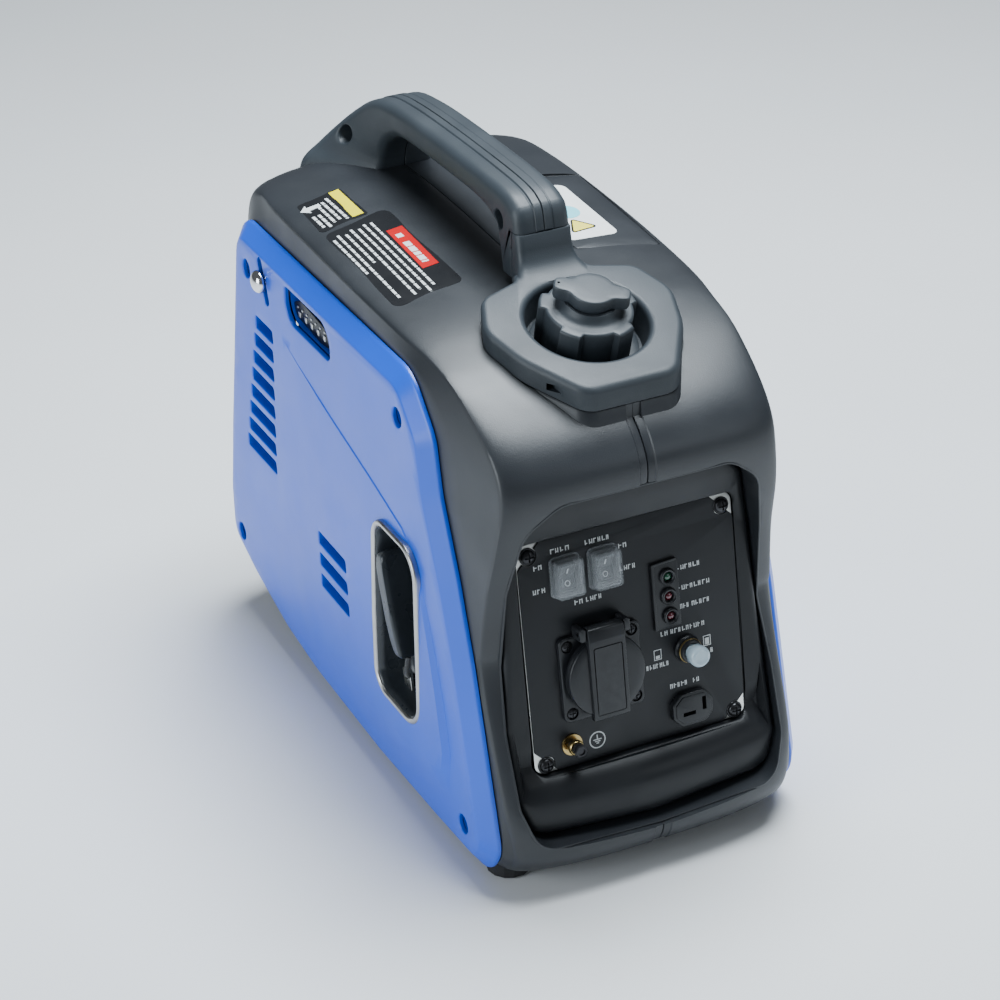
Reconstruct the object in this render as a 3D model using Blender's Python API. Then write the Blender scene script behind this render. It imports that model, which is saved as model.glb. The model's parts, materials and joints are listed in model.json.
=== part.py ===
"""Portable suitcase generator, rebuilt as the pieces it comes apart into.

+Z is up, -Y is the control panel end and -X is the recoil starter side. The origin is
the middle of the machine's footprint, on the surface that it stands on. Sizes below are
in millimetres, and every mesh is scaled to metres when it is made.
"""

import math

import bmesh
import bpy
from mathutils import Matrix, Vector

MM = 0.001
GAP = 0.3

# Driving dimensions, in millimetres.
WALL = 3.0
SHELL_SIDE = 103.4
COVER_RIM = 104.0
COVER_CHAMFER = 12.0
CAP_TILT = math.radians(15.0)
CAP_CENTRE = (0.0, -121.7, 341.9)
CAP_RADIUS = 27.5
CAP_TAB_RADIUS = 31.0
WELL_RADIUS = 43.0
PANEL_TOP_ROW = (0.0, -170.6, 219.3)
PANEL_LEAN = math.radians(9.8)
PANEL_HALF_WIDTH = 75.0
PANEL_ABOVE = 8.0
PANEL_BELOW = 145.0
PANEL_SCREW_X = 67.3
PANEL_SCREW_V = 139.5
HANDLE_HALF = 19.0
REAR_LEAN = 4.3
CRANK_Y = 25.0
CRANK_Z = 115.0
PLUG_Z = 210.0
FOOT_SPOTS = {
    "front_left": (-86, -178),
    "front_right": (86, -178),
    "rear_left": (-84, 146),
    "rear_right": (84, 146),
}

COLOURS = {
    "cover_blue": ((0.010, 0.105, 0.62), 0.32, 0.0),
    "shell_black": ((0.024, 0.025, 0.027), 0.5, 0.0),
    "collar_grey": ((0.035, 0.039, 0.043), 0.6, 0.0),
    "panel_black": ((0.012, 0.012, 0.014), 0.5, 0.0),
    "switch_black": ((0.01, 0.01, 0.011), 0.4, 0.0),
    "clear_boot": ((0.75, 0.77, 0.78), 0.15, 0.0),
    "white_button": ((0.62, 0.67, 0.7), 0.25, 0.0),
    "green_lens": ((0.0, 0.16, 0.08), 0.2, 0.0),
    "red_lens": ((0.25, 0.004, 0.01), 0.2, 0.0),
    "zinc": ((0.62, 0.62, 0.58), 0.35, 1.0),
    "chrome": ((0.7, 0.7, 0.72), 0.12, 1.0),
    "black_steel": ((0.03, 0.03, 0.032), 0.35, 1.0),
    "brass": ((0.55, 0.38, 0.16), 0.3, 1.0),
    "rubber": ((0.012, 0.012, 0.012), 0.8, 0.0),
    "starter_gloss": ((0.01, 0.01, 0.011), 0.18, 0.0),
    "rope": ((0.03, 0.03, 0.03), 0.9, 0.0),
    "cast_alloy": ((0.42, 0.43, 0.44), 0.5, 1.0),
    "steel": ((0.45, 0.45, 0.45), 0.35, 1.0),
    "copper": ((0.45, 0.18, 0.08), 0.4, 1.0),
    "ceramic": ((0.8, 0.8, 0.78), 0.3, 0.0),
    "tank_white": ((0.6, 0.6, 0.56), 0.45, 0.0),
}


# Frames

PANEL = Matrix.Translation(Vector(PANEL_TOP_ROW)) @ Matrix((
    (1, 0, 0, 0),
    (0, math.sin(PANEL_LEAN), -math.cos(PANEL_LEAN), 0),
    (0, math.cos(PANEL_LEAN), math.sin(PANEL_LEAN), 0),
    (0, 0, 0, 1),
))
CAP = Matrix.Translation(Vector(CAP_CENTRE)) @ Matrix.Rotation(CAP_TILT, 4, "X")
FROM_LEFT = Matrix(((0, 0, -1, 0), (1, 0, 0, 0), (0, 1, 0, 0), (0, 0, 0, 1)))
FROM_RIGHT = Matrix(((0, 0, 1, 0), (1, 0, 0, 0), (0, 1, 0, 0), (0, 0, 0, 1)))
FROM_FRONT = Matrix(((1, 0, 0, 0), (0, 0, -1, 0), (0, 1, 0, 0), (0, 0, 0, 1)))
FROM_REAR = Matrix(((-1, 0, 0, 0), (0, 0, 1, 0), (0, 1, 0, 0), (0, 0, 0, 1)))
REAR = Matrix.Translation((0, 213.2, 162)) @ Matrix.Rotation(math.radians(REAR_LEAN), 4, "X") @ FROM_REAR
UPRIGHT = Matrix.Identity(4)


# Making meshes

def clear_scene():
    for obj in list(bpy.data.objects):
        bpy.data.objects.remove(obj, do_unlink=True)


def material(name):
    found = bpy.data.materials.get(name)
    if found:
        return found
    colour, roughness, metallic = COLOURS[name]
    made = bpy.data.materials.new(name)
    made.use_nodes = True
    shader = made.node_tree.nodes["Principled BSDF"]
    shader.inputs["Base Color"].default_value = (*colour, 1.0)
    shader.inputs["Roughness"].default_value = roughness
    shader.inputs["Metallic"].default_value = metallic
    made.diffuse_color = (*colour, 1.0)
    return made


def place(name, bm, slot, at=(0, 0, 0), turn=None, hidden=False, sharp=35):
    """Makes the mesh an object. Its points are in millimetres in the machine's frame.

    The object's origin goes to `at`, and its axes follow `turn`.
    """
    home = Matrix.Translation(Vector(at)) @ (turn or Matrix.Identity(4))
    bmesh.ops.remove_doubles(bm, verts=bm.verts, dist=1e-4)
    bmesh.ops.recalc_face_normals(bm, faces=bm.faces)
    bmesh.ops.transform(bm, matrix=home.inverted(), verts=bm.verts)
    bmesh.ops.scale(bm, vec=(MM, MM, MM), verts=bm.verts)
    mesh = bpy.data.meshes.new(name)
    bm.to_mesh(mesh)
    bm.free()
    mesh.shade_smooth()
    mesh.set_sharp_from_angle(angle=math.radians(sharp))
    mesh.materials.append(material(slot))
    obj = bpy.data.objects.new(name, mesh)
    bpy.context.scene.collection.objects.link(obj)
    place_at = home.copy()
    place_at.translation = home.translation * MM
    obj.matrix_world = place_at
    if hidden:
        obj.hide_render = True
        obj.display_type = "WIRE"
    return obj


def boolean(target, cutter, operation="DIFFERENCE"):
    modifier = target.modifiers.new(operation.title(), "BOOLEAN")
    modifier.operation = operation
    modifier.object = cutter
    cutter.hide_render = True
    cutter.display_type = "WIRE"


def cut(target, bm):
    boolean(target, place(target.name + "_cutter", bm, "steel", hidden=True))


def fuse(target, bm):
    boolean(target, place(target.name + "_boss", bm, "steel", hidden=True), "UNION")


def loft(rings, capped=True):
    """Skins a run of closed rings of equal counts. Without caps, the last ring joins the first one."""
    bm = bmesh.new()
    rows = [[bm.verts.new(point) for point in ring] for ring in rings]
    following = rows[1:] if capped else rows[1:] + rows[:1]
    for low, high in zip(rows, following):
        for i in range(len(low)):
            j = (i + 1) % len(low)
            bm.faces.new((low[i], low[j], high[j], high[i]))
    if capped:
        bm.faces.new(rows[0][::-1])
        bm.faces.new(rows[-1])
    return bm


def moved(points, matrix, depth):
    return [matrix @ Vector((u, v, depth)) for u, v in points]


def prism(outline, low, high, matrix=UPRIGHT):
    """Extrudes a flat outline from depth `low` to `high` along the matrix's own Z."""
    return loft([moved(outline, matrix, low), moved(outline, matrix, high)])


def stack(layers, matrix=UPRIGHT, capped=True):
    """Lofts (outline, depth) layers along the matrix's own Z."""
    return loft([moved(outline, matrix, depth) for outline, depth in layers], capped)


def circle(radius, count=24, centre=(0, 0), start=0.0):
    turn = 2 * math.pi / count
    return [
        (centre[0] + radius * math.cos(start + turn * i), centre[1] + radius * math.sin(start + turn * i))
        for i in range(count)
    ]


def turned(profile, count=24, matrix=UPRIGHT, centre=(0, 0), capped=True):
    """Turns (radius, height) points about the matrix's own Z."""
    return stack([(circle(radius, count, centre), height) for radius, height in profile], matrix, capped)


def tube(outer, inner, low, high, count=24, matrix=UPRIGHT, centre=(0, 0)):
    """A ring of rectangular section about the matrix's own Z."""
    corners = [(outer, low), (outer, high), (inner, high), (inner, low)]
    return turned(corners, count, matrix, centre, capped=False)


def rectangle(x0, x1, y0, y1):
    return [(x0, y0), (x1, y0), (x1, y1), (x0, y1)]


def rounded(corners, steps=4):
    """Rounds a polygon given as (x, y, radius) corners, with an arc of `steps` spans at each."""
    points = []
    count = len(corners)
    for i in range(count):
        x, y, radius = corners[i]
        here = Vector((x, y))
        before = (Vector(corners[i - 1][:2]) - here).normalized()
        after = (Vector(corners[(i + 1) % count][:2]) - here).normalized()
        if radius <= 0:
            points.append((x, y))
            continue
        half = math.acos(max(-1.0, min(1.0, before.dot(after)))) / 2
        if half > math.radians(88):
            points.append((x, y))
            continue
        centre = here + (before + after).normalized() * (radius / math.sin(half))
        start = here + before * (radius / math.tan(half)) - centre
        sweep = math.pi - 2 * half
        if before.cross(after) > 0:
            sweep = -sweep
        for k in range(steps + 1):
            angle = sweep * k / steps
            turned_arm = Matrix.Rotation(angle, 2) @ start
            points.append((centre.x + turned_arm.x, centre.y + turned_arm.y))
    return points


def rounded_box(x0, x1, y0, y1, radius, steps=3):
    return rounded([(x, y, radius) for x, y in rectangle(x0, x1, y0, y1)], steps)


def inset(outline, distance):
    """Moves a closed outline inwards along its own normals. A negative distance moves it out."""
    count = len(outline)
    area = sum(
        outline[i][0] * outline[(i + 1) % count][1] - outline[(i + 1) % count][0] * outline[i][1]
        for i in range(count)
    )
    side = 1 if area > 0 else -1
    result = []
    for i in range(count):
        here = Vector(outline[i])
        before = (here - Vector(outline[i - 1])).normalized()
        after = (Vector(outline[(i + 1) % count]) - here).normalized()
        normal_before = Vector((-before.y, before.x)) * side
        normal_after = Vector((-after.y, after.x)) * side
        middle = (normal_before + normal_after).normalized()
        reach = distance / max(0.5, middle.dot(normal_before))
        result.append(tuple(here + middle * reach))
    return result


def catmull_rom(a, b, c, d, t):
    linear = (c - a) * t
    square = (2 * a - 5 * b + 4 * c - d) * t * t
    cubic = (3 * b - a - 3 * c + d) * t ** 3
    return 0.5 * (2 * b + linear + square + cubic)


def smooth_path(points, per_span):
    """A Catmull-Rom curve through the points, which may have any number of coordinates."""
    path = []
    for i in range(len(points) - 1):
        before = points[max(i - 1, 0)]
        here = points[i]
        after = points[i + 1]
        beyond = points[min(i + 2, len(points) - 1)]
        for step in range(per_span):
            path.append(tuple(
                catmull_rom(*values, step / per_span) for values in zip(before, here, after, beyond)
            ))
    path.append(tuple(points[-1]))
    return path


def smooth_loop(points, per_span):
    count = len(points)
    padded = [points[-1], *points, points[0], points[1]]
    path = smooth_path(padded, per_span)
    return path[per_span:per_span * (count + 1)]


# Body shells. Each station runs from the middle seam over the crease to the side wall:
# middle (y, z), crease (x, y, z), side (y, z). They go once round the side view.

BODY_STATIONS = [
    ((120, 14), (101, 120, 14), (120, 17.5)),
    ((190, 14), (100, 178, 14.5), (176, 26)),
    ((215, 26), (98, 203, 28), (203, 44)),
    ((224.5, 70), (98, 214, 70), (215, 72)),
    ((223, 125), (98, 213, 125), (212, 122)),
    ((214, 215), (98, 201, 215), (196, 210)),
    ((205, 295), (98.5, 184, 295), (174, 290)),
    ((199, 325), (99, 172, 326), (163, 313)),
    ((184, 340), (99.5, 152, 337), (142, 321)),
    ((130, 346), (102, 122, 338), (115, 321.5)),
    ((70, 346.5), (103.2, 75, 337.5), (75, 321.5)),
    ((-2, 343.5), (103.2, -2, 335), (-2, 321.5)),
    ((-75, 339), (101, -71, 331.5), (-70, 321.5)),
    ((-112, 332), (97.5, -106, 328), (-100, 318)),
    ((-142, 322), (95.6, -135, 321), (-114, 308)),
    ((-174, 306), (94, -166, 303), (-123, 297)),
    ((-192, 291), (93.5, -184, 284), (-128, 283)),
    ((-199, 274), (94.2, -189, 262), (-136, 262)),
    ((-195, 245), (97, -186.5, 235), (-146, 240)),
    ((-188, 205), (99.5, -179, 203), (-157, 205)),
    ((-183, 165), (102, -175.5, 165), (-170, 165)),
    ((-184, 152), (102.3, -174.5, 152), (-173.5, 152)),
    ((-196, 118), (102.6, -185, 118), (-183, 118)),
    ((-216, 68), (102, -204, 68), (-198, 68)),
    ((-224.8, 44), (99, -210, 42), (-205, 46)),
    ((-224, 27), (97, -208, 26), (-203, 28)),
    ((-214, 15.5), (97, -197, 15.5), (-190, 18)),
    ((-190, 14), (99, -176, 14), (-172, 17.5)),
    ((-60, 14), (101, -60, 14), (-60, 17.5)),
]
CREASE_STEPS = (0.0, 0.5, 0.86, 0.965)
FLANK_STEPS = (0.12, 1.0)


def body_ring(stations, share, side, depth=0.0):
    """One ring round the body: share 0 is the middle seam, 1 the crease and 2 the side wall."""
    ring = []
    for middle, crease, wall in stations:
        if share <= 1:
            x = crease[0] * share
            bulge = math.sqrt(max(0.0, 1 - share ** 2.6))
            y = crease[1] + (middle[0] - crease[1]) * bulge
            z = crease[2] + (middle[1] - crease[2]) * bulge
        else:
            along = share - 1
            x = crease[0] + (SHELL_SIDE - crease[0]) * along
            y = crease[1] + (wall[0] - crease[1]) * along
            z = crease[2] + (wall[1] - crease[2]) * along
        ring.append((max(x, GAP / 2), y, z))
    if depth:
        flat = inset([(y, z) for _, y, z in ring], depth)
        ring = [(x, y, z) for (x, _, _), (y, z) in zip(ring, flat)]
    return [(side * x, y, z) for x, y, z in ring]


def body_stations(per_span):
    flat = [(*middle, *crease, *wall) for middle, crease, wall in BODY_STATIONS]
    return [(p[0:2], p[2:5], p[5:7]) for p in smooth_loop(flat, per_span)]


def shell_mesh(side, per_span=2):
    """Half of the body: an outer skin and an inner one, joined along the middle seam."""
    stations = body_stations(per_span)
    shares = list(CREASE_STEPS) + [1.0 + step for step in FLANK_STEPS]
    outer = [body_ring(stations, share, side) for share in reversed(shares)]
    inner = []
    for share in (0.0, 0.6, 0.9, 1.25):
        ring = body_ring(stations, share, side, WALL)
        inner.append([(side * min(abs(x), SHELL_SIDE - WALL), y, z) for x, y, z in ring])
    last = [(side * (SHELL_SIDE - WALL), y, z) for _, y, z in body_ring(stations, 2.0, side, WALL)]
    return loft(outer + inner + [last])


FRONT_OPENING = [
    (90, 152, 0), (87.5, 205, 30), (80, 247, 26), (58, 264.5, 20), (-58, 264.5, 20), (-80, 247, 26),
    (-87.5, 205, 30), (-90, 152, 0), (-93.5, 110, 30), (-93, 66, 20), (-84, 39, 16), (0, 35, 0),
    (84, 39, 16), (93, 66, 20), (93.5, 110, 30),
]
WINDOW_MAIN = rounded_box(-124, 100, 48, 216, 8)
WINDOW_REAR = rounded_box(88, 158, 222, 276, 6)
REAR_OPENING = rounded_box(-72, 72, -95, 95, 14)
ACCESS_OPENING = [(41.5, -29), (98, -38), (101, 78), (41.5, 86)]
POD_OUTLINE = [
    (20, 52, 0), (20, 44, 9), (59, 22, 14), (65, 0, 22), (57, -26, 26), (30, -59.5, 14),
    (-30, -59.5, 14), (-57, -26, 26), (-65, 0, 22), (-59, 22, 14), (-20, 44, 9), (-20, 52, 0),
]


def pod_outline(steps=4):
    return rounded(POD_OUTLINE, steps)


def half_space(side):
    return rectangle(*sorted((side * GAP / 2, side * 130)), -260, 260)


def shells():
    for name, side in (("left_shell", -1), ("right_shell", 1)):
        shell = place(name, shell_mesh(side), "shell_black")
        step = prism(inset(pod_outline(), 2.2), -38, -18.4, CAP)
        step = place(name + "_step", step, "shell_black", hidden=True)
        half = place(name + "_half", prism(half_space(side), 200, 380), "steel", hidden=True)
        boolean(step, half, "INTERSECT")
        boolean(shell, step, "UNION")
        cut(shell, prism(rounded(FRONT_OPENING, 3), 120, 260, FROM_FRONT))
        cut(shell, turned([(WELL_RADIUS + 3.2, -60), (WELL_RADIUS + 3.2, 20)], 24, CAP))
        cut(shell, prism(inset(pod_outline(), -0.5), -18.3, 40, CAP))
        frame = FROM_LEFT if side < 0 else FROM_RIGHT
        cut(shell, prism(WINDOW_MAIN, 90, 110, frame))
        cut(shell, prism(WINDOW_REAR, 90, 110, frame))
        cut(shell, prism(REAR_OPENING, -60, 40, REAR))
        if side > 0:
            cut(shell, prism(ACCESS_OPENING, 300, 380))


def body_solid(side, grow):
    """The body's half as one solid, `grow` larger than its skin, for cutting what sits on it."""
    stations = body_stations(2)
    shares = list(CREASE_STEPS) + [1.0 + step for step in FLANK_STEPS]
    return loft([body_ring(stations, share, side, -grow) for share in shares])


def plug_access_cover():
    """A piece of the roof that lifts off over the spark plug."""
    cover = place("plug_access_cover", shell_mesh(1), "shell_black", at=(70, 24, 341))
    limit = prism(inset(ACCESS_OPENING, 0.5), 300, 380)
    boolean(cover, place("plug_access_limit", limit, "steel", hidden=True), "INTERSECT")


# Side covers

COVER_OUTLINE = [
    (174, 319.5, 26), (-95, 319.5, 34), (-125, 288, 30), (-133, 252, 60), (-154, 204, 120),
    (-172, 153, 200),
    (-199, 60, 60), (-206, 34, 22), (-192, 12, 22), (-130, 9, 60), (-45, 6.5, 200), (62, 10, 200),
    (114, 17, 120), (170, 33, 80), (215, 52, 26), (216, 96, 60), (206, 155, 200), (196, 205, 200),
]


def cover_outline(steps=2):
    return rounded(COVER_OUTLINE, steps)


def shrunk(outline, share):
    """Draws an outline in towards its middle."""
    middle_x = sum(x for x, _ in outline) / len(outline)
    middle_y = sum(y for _, y in outline) / len(outline)
    return [(middle_x + (x - middle_x) * share, middle_y + (y - middle_y) * share) for x, y in outline]


def cover_layers():
    """A side cover's outer face from the rim in: (outline, height above the rim)."""
    outline = cover_outline()
    face = inset(outline, COVER_CHAMFER)
    return [
        (outline, 0.0), (inset(outline, 1.2), 2.6), (inset(outline, COVER_CHAMFER - 1.5), 9.2),
        (face, 10.2), (shrunk(face, 0.7), 12.2),
    ]


def cover_mesh(matrix):
    outer = [moved(outline, matrix, COVER_RIM + rise) for outline, rise in cover_layers()]
    inner = []
    for outline, rise in cover_layers():
        thinned = shrunk(outline, 0.98) if rise > 10.5 else inset(outline, WALL * 0.8)
        inner.append(moved(thinned, matrix, COVER_RIM + max(0.0, rise - WALL)))
    del inner[1]
    return loft(outer[::-1] + inner)


LOUVRES = [(138 + 3.9 * i, 108 + 0.9 * i, 259.5 - 14.6 * i) for i in range(8)]
SHORT_LOUVRES = [(41, -5, 142), (40, -6.5, 126), (39, -8, 110)]
LOUVRE_HEIGHT = 7.5
OBLONG_WINDOW = [(83, 304, 3), (11, 304, 15), (11, 280, 5), (83, 280, 15)]
COVER_SCREWS = [(150, 289), (-90, 288), (190, 65), (-171, 38)]
STARTER_OUTLINE = [
    (-66, 201, 16), (-51, 181, 14), (-50, 137, 60), (-47, 76, 12), (-60, 68, 12), (-98, 69, 20),
    (-117, 92, 20), (-118, 150, 60), (-116, 186, 16), (-94, 203, 14),
]


def louvre(rear, front, top):
    """A slot seen from the side: level edges, with ends that lean forward as they go down."""
    lean = 3.0
    low = top - LOUVRE_HEIGHT
    corners = [(front + lean, top, 2), (rear, top, 1.5), (rear + 1.5 - lean, low, 2), (front, low, 1.5)]
    return rounded(corners, 1)


def starter_outline(steps=3):
    return rounded(STARTER_OUTLINE, steps)


def side_covers():
    for name, matrix in (("left_side_cover", FROM_LEFT), ("right_side_cover", FROM_RIGHT)):
        cover = place(name, cover_mesh(matrix), "cover_blue", sharp=40)
        for slot in LOUVRES + SHORT_LOUVRES:
            cut(cover, prism(louvre(*slot), 105, 125, matrix))
        for centre in COVER_SCREWS:
            cut(cover, turned([(6.5, 105), (7.0, 125)], 10, matrix, centre))
        if matrix is FROM_LEFT:
            cut(cover, prism(rounded(OBLONG_WINDOW, 2), 105, 125, matrix))
            cut(cover, prism(inset(starter_outline(), 4.5), 100, 125, matrix))
            cut(cover, prism(CHOKE_SLOT, 105, 125, matrix))


# Recoil starter and choke

CHOKE_TOP = Vector((125.0, 303.0))
CHOKE_LOW = Vector((115.5, 280.0))
CHOKE_WAY = (CHOKE_TOP - CHOKE_LOW).normalized()
CHOKE_KNOB = CHOKE_LOW + CHOKE_WAY * 13.0


def slot_outline(start, end, half_width, count=6):
    way = (end - start).normalized()
    angle = math.atan2(way.y, way.x)
    points = []
    for centre, first in ((end, angle - math.pi / 2), (start, angle + math.pi / 2)):
        for k in range(count + 1):
            turn = first + math.pi * k / count
            points.append((centre.x + half_width * math.cos(turn), centre.y + half_width * math.sin(turn)))
    return points


CHOKE_SLOT = slot_outline(CHOKE_LOW, CHOKE_TOP, 4.0)


def choke_knob():
    profile = [
        (3.2, 106), (3.2, 116.6), (7.6, 116.6), (7.6, 118.2), (6.6, 120.2), (4.4, 121.6), (1.6, 122.2),
    ]
    knob = turned(profile, 20, FROM_LEFT, tuple(CHOKE_KNOB))
    place("choke_knob", knob, "chrome", at=FROM_LEFT @ Vector((*CHOKE_KNOB, 117)))


def starter_bezel():
    """A rim on the cover's face and a deep cup behind it, with a hole for the rope."""
    outline = starter_outline()
    layers = [
        (inset(outline, 5.2), 92.0), (inset(outline, 5.2), 116.9), (outline, 116.9),
        (inset(outline, 0.4), 118.4), (inset(outline, 3.2), 118.8), (inset(outline, 4.6), 117.6),
        (inset(outline, 7.0), 112.0),
        (inset(outline, 8.0), 94.0),
    ]
    bezel = place("starter_bezel", stack(layers, FROM_LEFT), "starter_gloss")
    cut(bezel, turned([(4.0, 80), (4.0, 100)], 12, FROM_LEFT, ROPE_EXIT))


ROPE_EXIT = (-68.0, 84.5)
GRIP_TOP = Vector((-64.0, 181.0))
GRIP_LOW = Vector((-86.0, 113.0))
GRIP_DEPTH = 109.5
# Along the grip: share of its length, half width and half depth.
GRIP_SECTIONS = [
    (0.0, 2.5, 5.0), (0.04, 4.5, 8.5), (0.16, 5.6, 10.0), (0.5, 5.8, 10.0), (0.84, 5.2, 9.0),
    (0.96, 4.2, 7.5), (1.0, 2.5, 4.5),
]


def starter_grip():
    """A pull handle that leans in its recess: a deep bar with a narrow outer edge."""
    way = (GRIP_LOW - GRIP_TOP).normalized()
    across = Vector((-way.y, way.x))
    rings = []
    for share, half, depth in GRIP_SECTIONS:
        centre = GRIP_TOP.lerp(GRIP_LOW, share)
        ring = []
        for u, v in circle(1.0, 12, start=math.pi / 12):
            square = max(abs(u), abs(v)) ** -0.6
            point = centre + across * half * u * square
            ring.append(FROM_LEFT @ Vector((point.x, point.y, GRIP_DEPTH + depth * v * square)))
        rings.append(ring)
    middle = GRIP_TOP.lerp(GRIP_LOW, 0.5)
    place("starter_grip", loft(rings), "starter_gloss",
          at=FROM_LEFT @ Vector((middle.x, middle.y, GRIP_DEPTH)))


def rope_points():
    """The rope's way: off the pulley, forward along the housing, and out through the cup to the grip."""
    pulley_low = CRANK_Z - 37.5
    route = [
        (-76, CRANK_Y - 6, pulley_low), (-76, -25, pulley_low), (-79, -45, 78.5), (-85, -60, 82),
        (-92, *ROPE_EXIT), (-98, -69.5, 85.5), (-104, -73, 89), (-108, -79, 97), (-109.5, -85.8, 110.4),
    ]
    return [Vector(point) for point in smooth_path(route, 2)]


def along(points, radius, count=8):
    """Rings of a round tube that follows the points."""
    rings = []
    side = Vector((0, 0, 1))
    for i, point in enumerate(points):
        ahead = (points[min(i + 1, len(points) - 1)] - points[max(i - 1, 0)]).normalized()
        side = (side - ahead * side.dot(ahead)).normalized()
        up = ahead.cross(side)
        rings.append([point + side * radius * u + up * radius * v for u, v in circle(1.0, count)])
    return rings


def starter_rope():
    place("starter_rope", loft(along(rope_points(), 1.9, 6)), "rope")


def starter_works():
    centre = (CRANK_Y, CRANK_Z)
    housing = stack([
        (circle(63, 24, centre), 62.0), (circle(63, 24, centre), 80.0), (circle(56, 24, centre), 94.0),
        (circle(12, 24, centre), 97.0), (circle(12, 24, centre), 93.8), (circle(53, 24, centre), 91.0),
        (circle(60, 24, centre), 78.0), (circle(60, 24, centre), 62.0),
    ], FROM_LEFT, capped=False)
    housing = place("starter_housing", housing, "switch_black")
    cut(housing, prism(rectangle(CRANK_Y - 70, CRANK_Y - 5, CRANK_Z - 44, CRANK_Z - 31), 60, 86, FROM_LEFT))
    for turn in range(5):
        angle = math.radians(72 * turn + 20)
        spot = (CRANK_Y + 36 * math.cos(angle), CRANK_Z + 36 * math.sin(angle))
        cut(housing, turned([(8, 85), (8, 100)], 8, FROM_LEFT, spot))
    pulley = stack([
        (circle(39, 20, centre), 69.0), (circle(39, 20, centre), 71.0), (circle(34.5, 20, centre), 73.0),
        (circle(34.5, 20, centre), 79.0), (circle(39, 20, centre), 81.0), (circle(39, 20, centre), 83.0),
        (circle(12, 20, centre), 83.0), (circle(9, 20, centre), 90.0),
    ], FROM_LEFT)
    place("starter_pulley", pulley, "switch_black", at=FROM_LEFT @ Vector((*centre, 76)))


# Handle. Each station is top (y, z), underside (y, z) and half width at the top. The underside
# keeps the grip's own width, so the root narrows towards the finger gap and flares behind it.

HANDLE_STATIONS = [
    ((201, 338), (139, 344), 60), ((197, 349), (138.5, 348), 46), ((188, 363), (137.5, 354), 34),
    ((174, 377), (134.5, 361.5), 25.5), ((157, 388.5), (128, 369), 21), ((137, 395.5), (117, 375.5), 19.3),
    ((105, 399), (98, 379.8), HANDLE_HALF), ((60, 400.6), (50, 381), HANDLE_HALF),
    ((10, 401), (-2, 381), HANDLE_HALF), ((-30, 400.5), (-20, 379), HANDLE_HALF),
    ((-50, 398.5), (-33, 373), HANDLE_HALF), ((-61, 393.5), (-41, 362), HANDLE_HALF),
]
HANDLE_FRONT = ((-66.2, 378.5), (-44, 350))
HANDLE_SEAM = 0.15
HANDLE_SCREWS = [((172, 361), 18.0), ((-40, 379), 12.0)]


def handle_section(top, under, half, side, steps):
    """A half section: flat on the seam, with rounded outer corners."""
    top = Vector(top)
    under = Vector(under)
    height = (top - under).length
    soft = min(7.0, height * 0.3)
    narrow = min(half, HANDLE_HALF)
    corners = rounded([
        (HANDLE_SEAM, 0, 0), (narrow, 0, soft * 0.9), (half, height, soft), (HANDLE_SEAM, height, 0),
    ], steps)
    way = (top - under) / height
    return [(side * u, (under + way * v).x, (under + way * v).y) for u, v in corners]


def handle_halves():
    stations = smooth_path([(*top, *under, half) for top, under, half in HANDLE_STATIONS], 2)
    for name, side in (("handle_left_half", -1), ("handle_right_half", 1)):
        rings = [handle_section(p[0:2], p[2:4], p[4], side, 3) for p in stations]
        rings.append(handle_section(*HANDLE_FRONT, HANDLE_HALF, side, 3))
        handle = place(name, loft(rings), "collar_grey", sharp=50)
        leg = [(-40, 372), (-43, 352), (-46, 345), (-57.5, 345), (-57.5, 377.8), (-62, 380)]
        fuse(handle, prism(leg, *sorted((side * HANDLE_SEAM, side * HANDLE_HALF)), FROM_RIGHT))
        trim = [(-57.8, 340), (-57.8, 377.6), (-90, 377.6), (-90, 340)]
        cut(handle, prism(trim, -30, 30, FROM_RIGHT))
        cut(handle, body_solid(side, 0.35))
        for centre, depth in HANDLE_SCREWS:
            low, high = sorted((side * depth, side * 80))
            cut(handle, turned([(4.6, low), (4.6, high)], 14, FROM_RIGHT, centre))


# Filler

def fuel_collar():
    outline = pod_outline()
    layers = [
        (inset(outline, 1.6), -18.0), (inset(outline, 0.4), -5.0), (inset(outline, 1.4), -1.6),
        (inset(outline, 4.2), 0.0),
    ]
    collar = place("fuel_collar", stack(layers, CAP), "collar_grey", sharp=50)
    wall = turned([(WELL_RADIUS + 2.6, -24), (WELL_RADIUS + 2.6, -2)], 32, CAP)
    fuse(collar, wall)
    well = turned([(WELL_RADIUS - 2, -21.0), (WELL_RADIUS - 1.2, -8), (WELL_RADIUS + 1.5, 4)], 32, CAP)
    cut(collar, well)
    cut(collar, turned([(23.0, -40), (23.0, 0)], 24, CAP))
    post = [(-58.2, 351.5), (-58.2, 377.2), (-66.8, 377.2), (-70.5, 362), (-76, 354), (-76, 349)]
    fuse(collar, prism(post, -HANDLE_HALF, HANDLE_HALF, FROM_RIGHT))
    drain = Matrix.Translation(CAP_CENTRE) @ FROM_FRONT
    cut(collar, prism(rectangle(-49, -38, -13, -8), 20, 60, drain))


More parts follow.
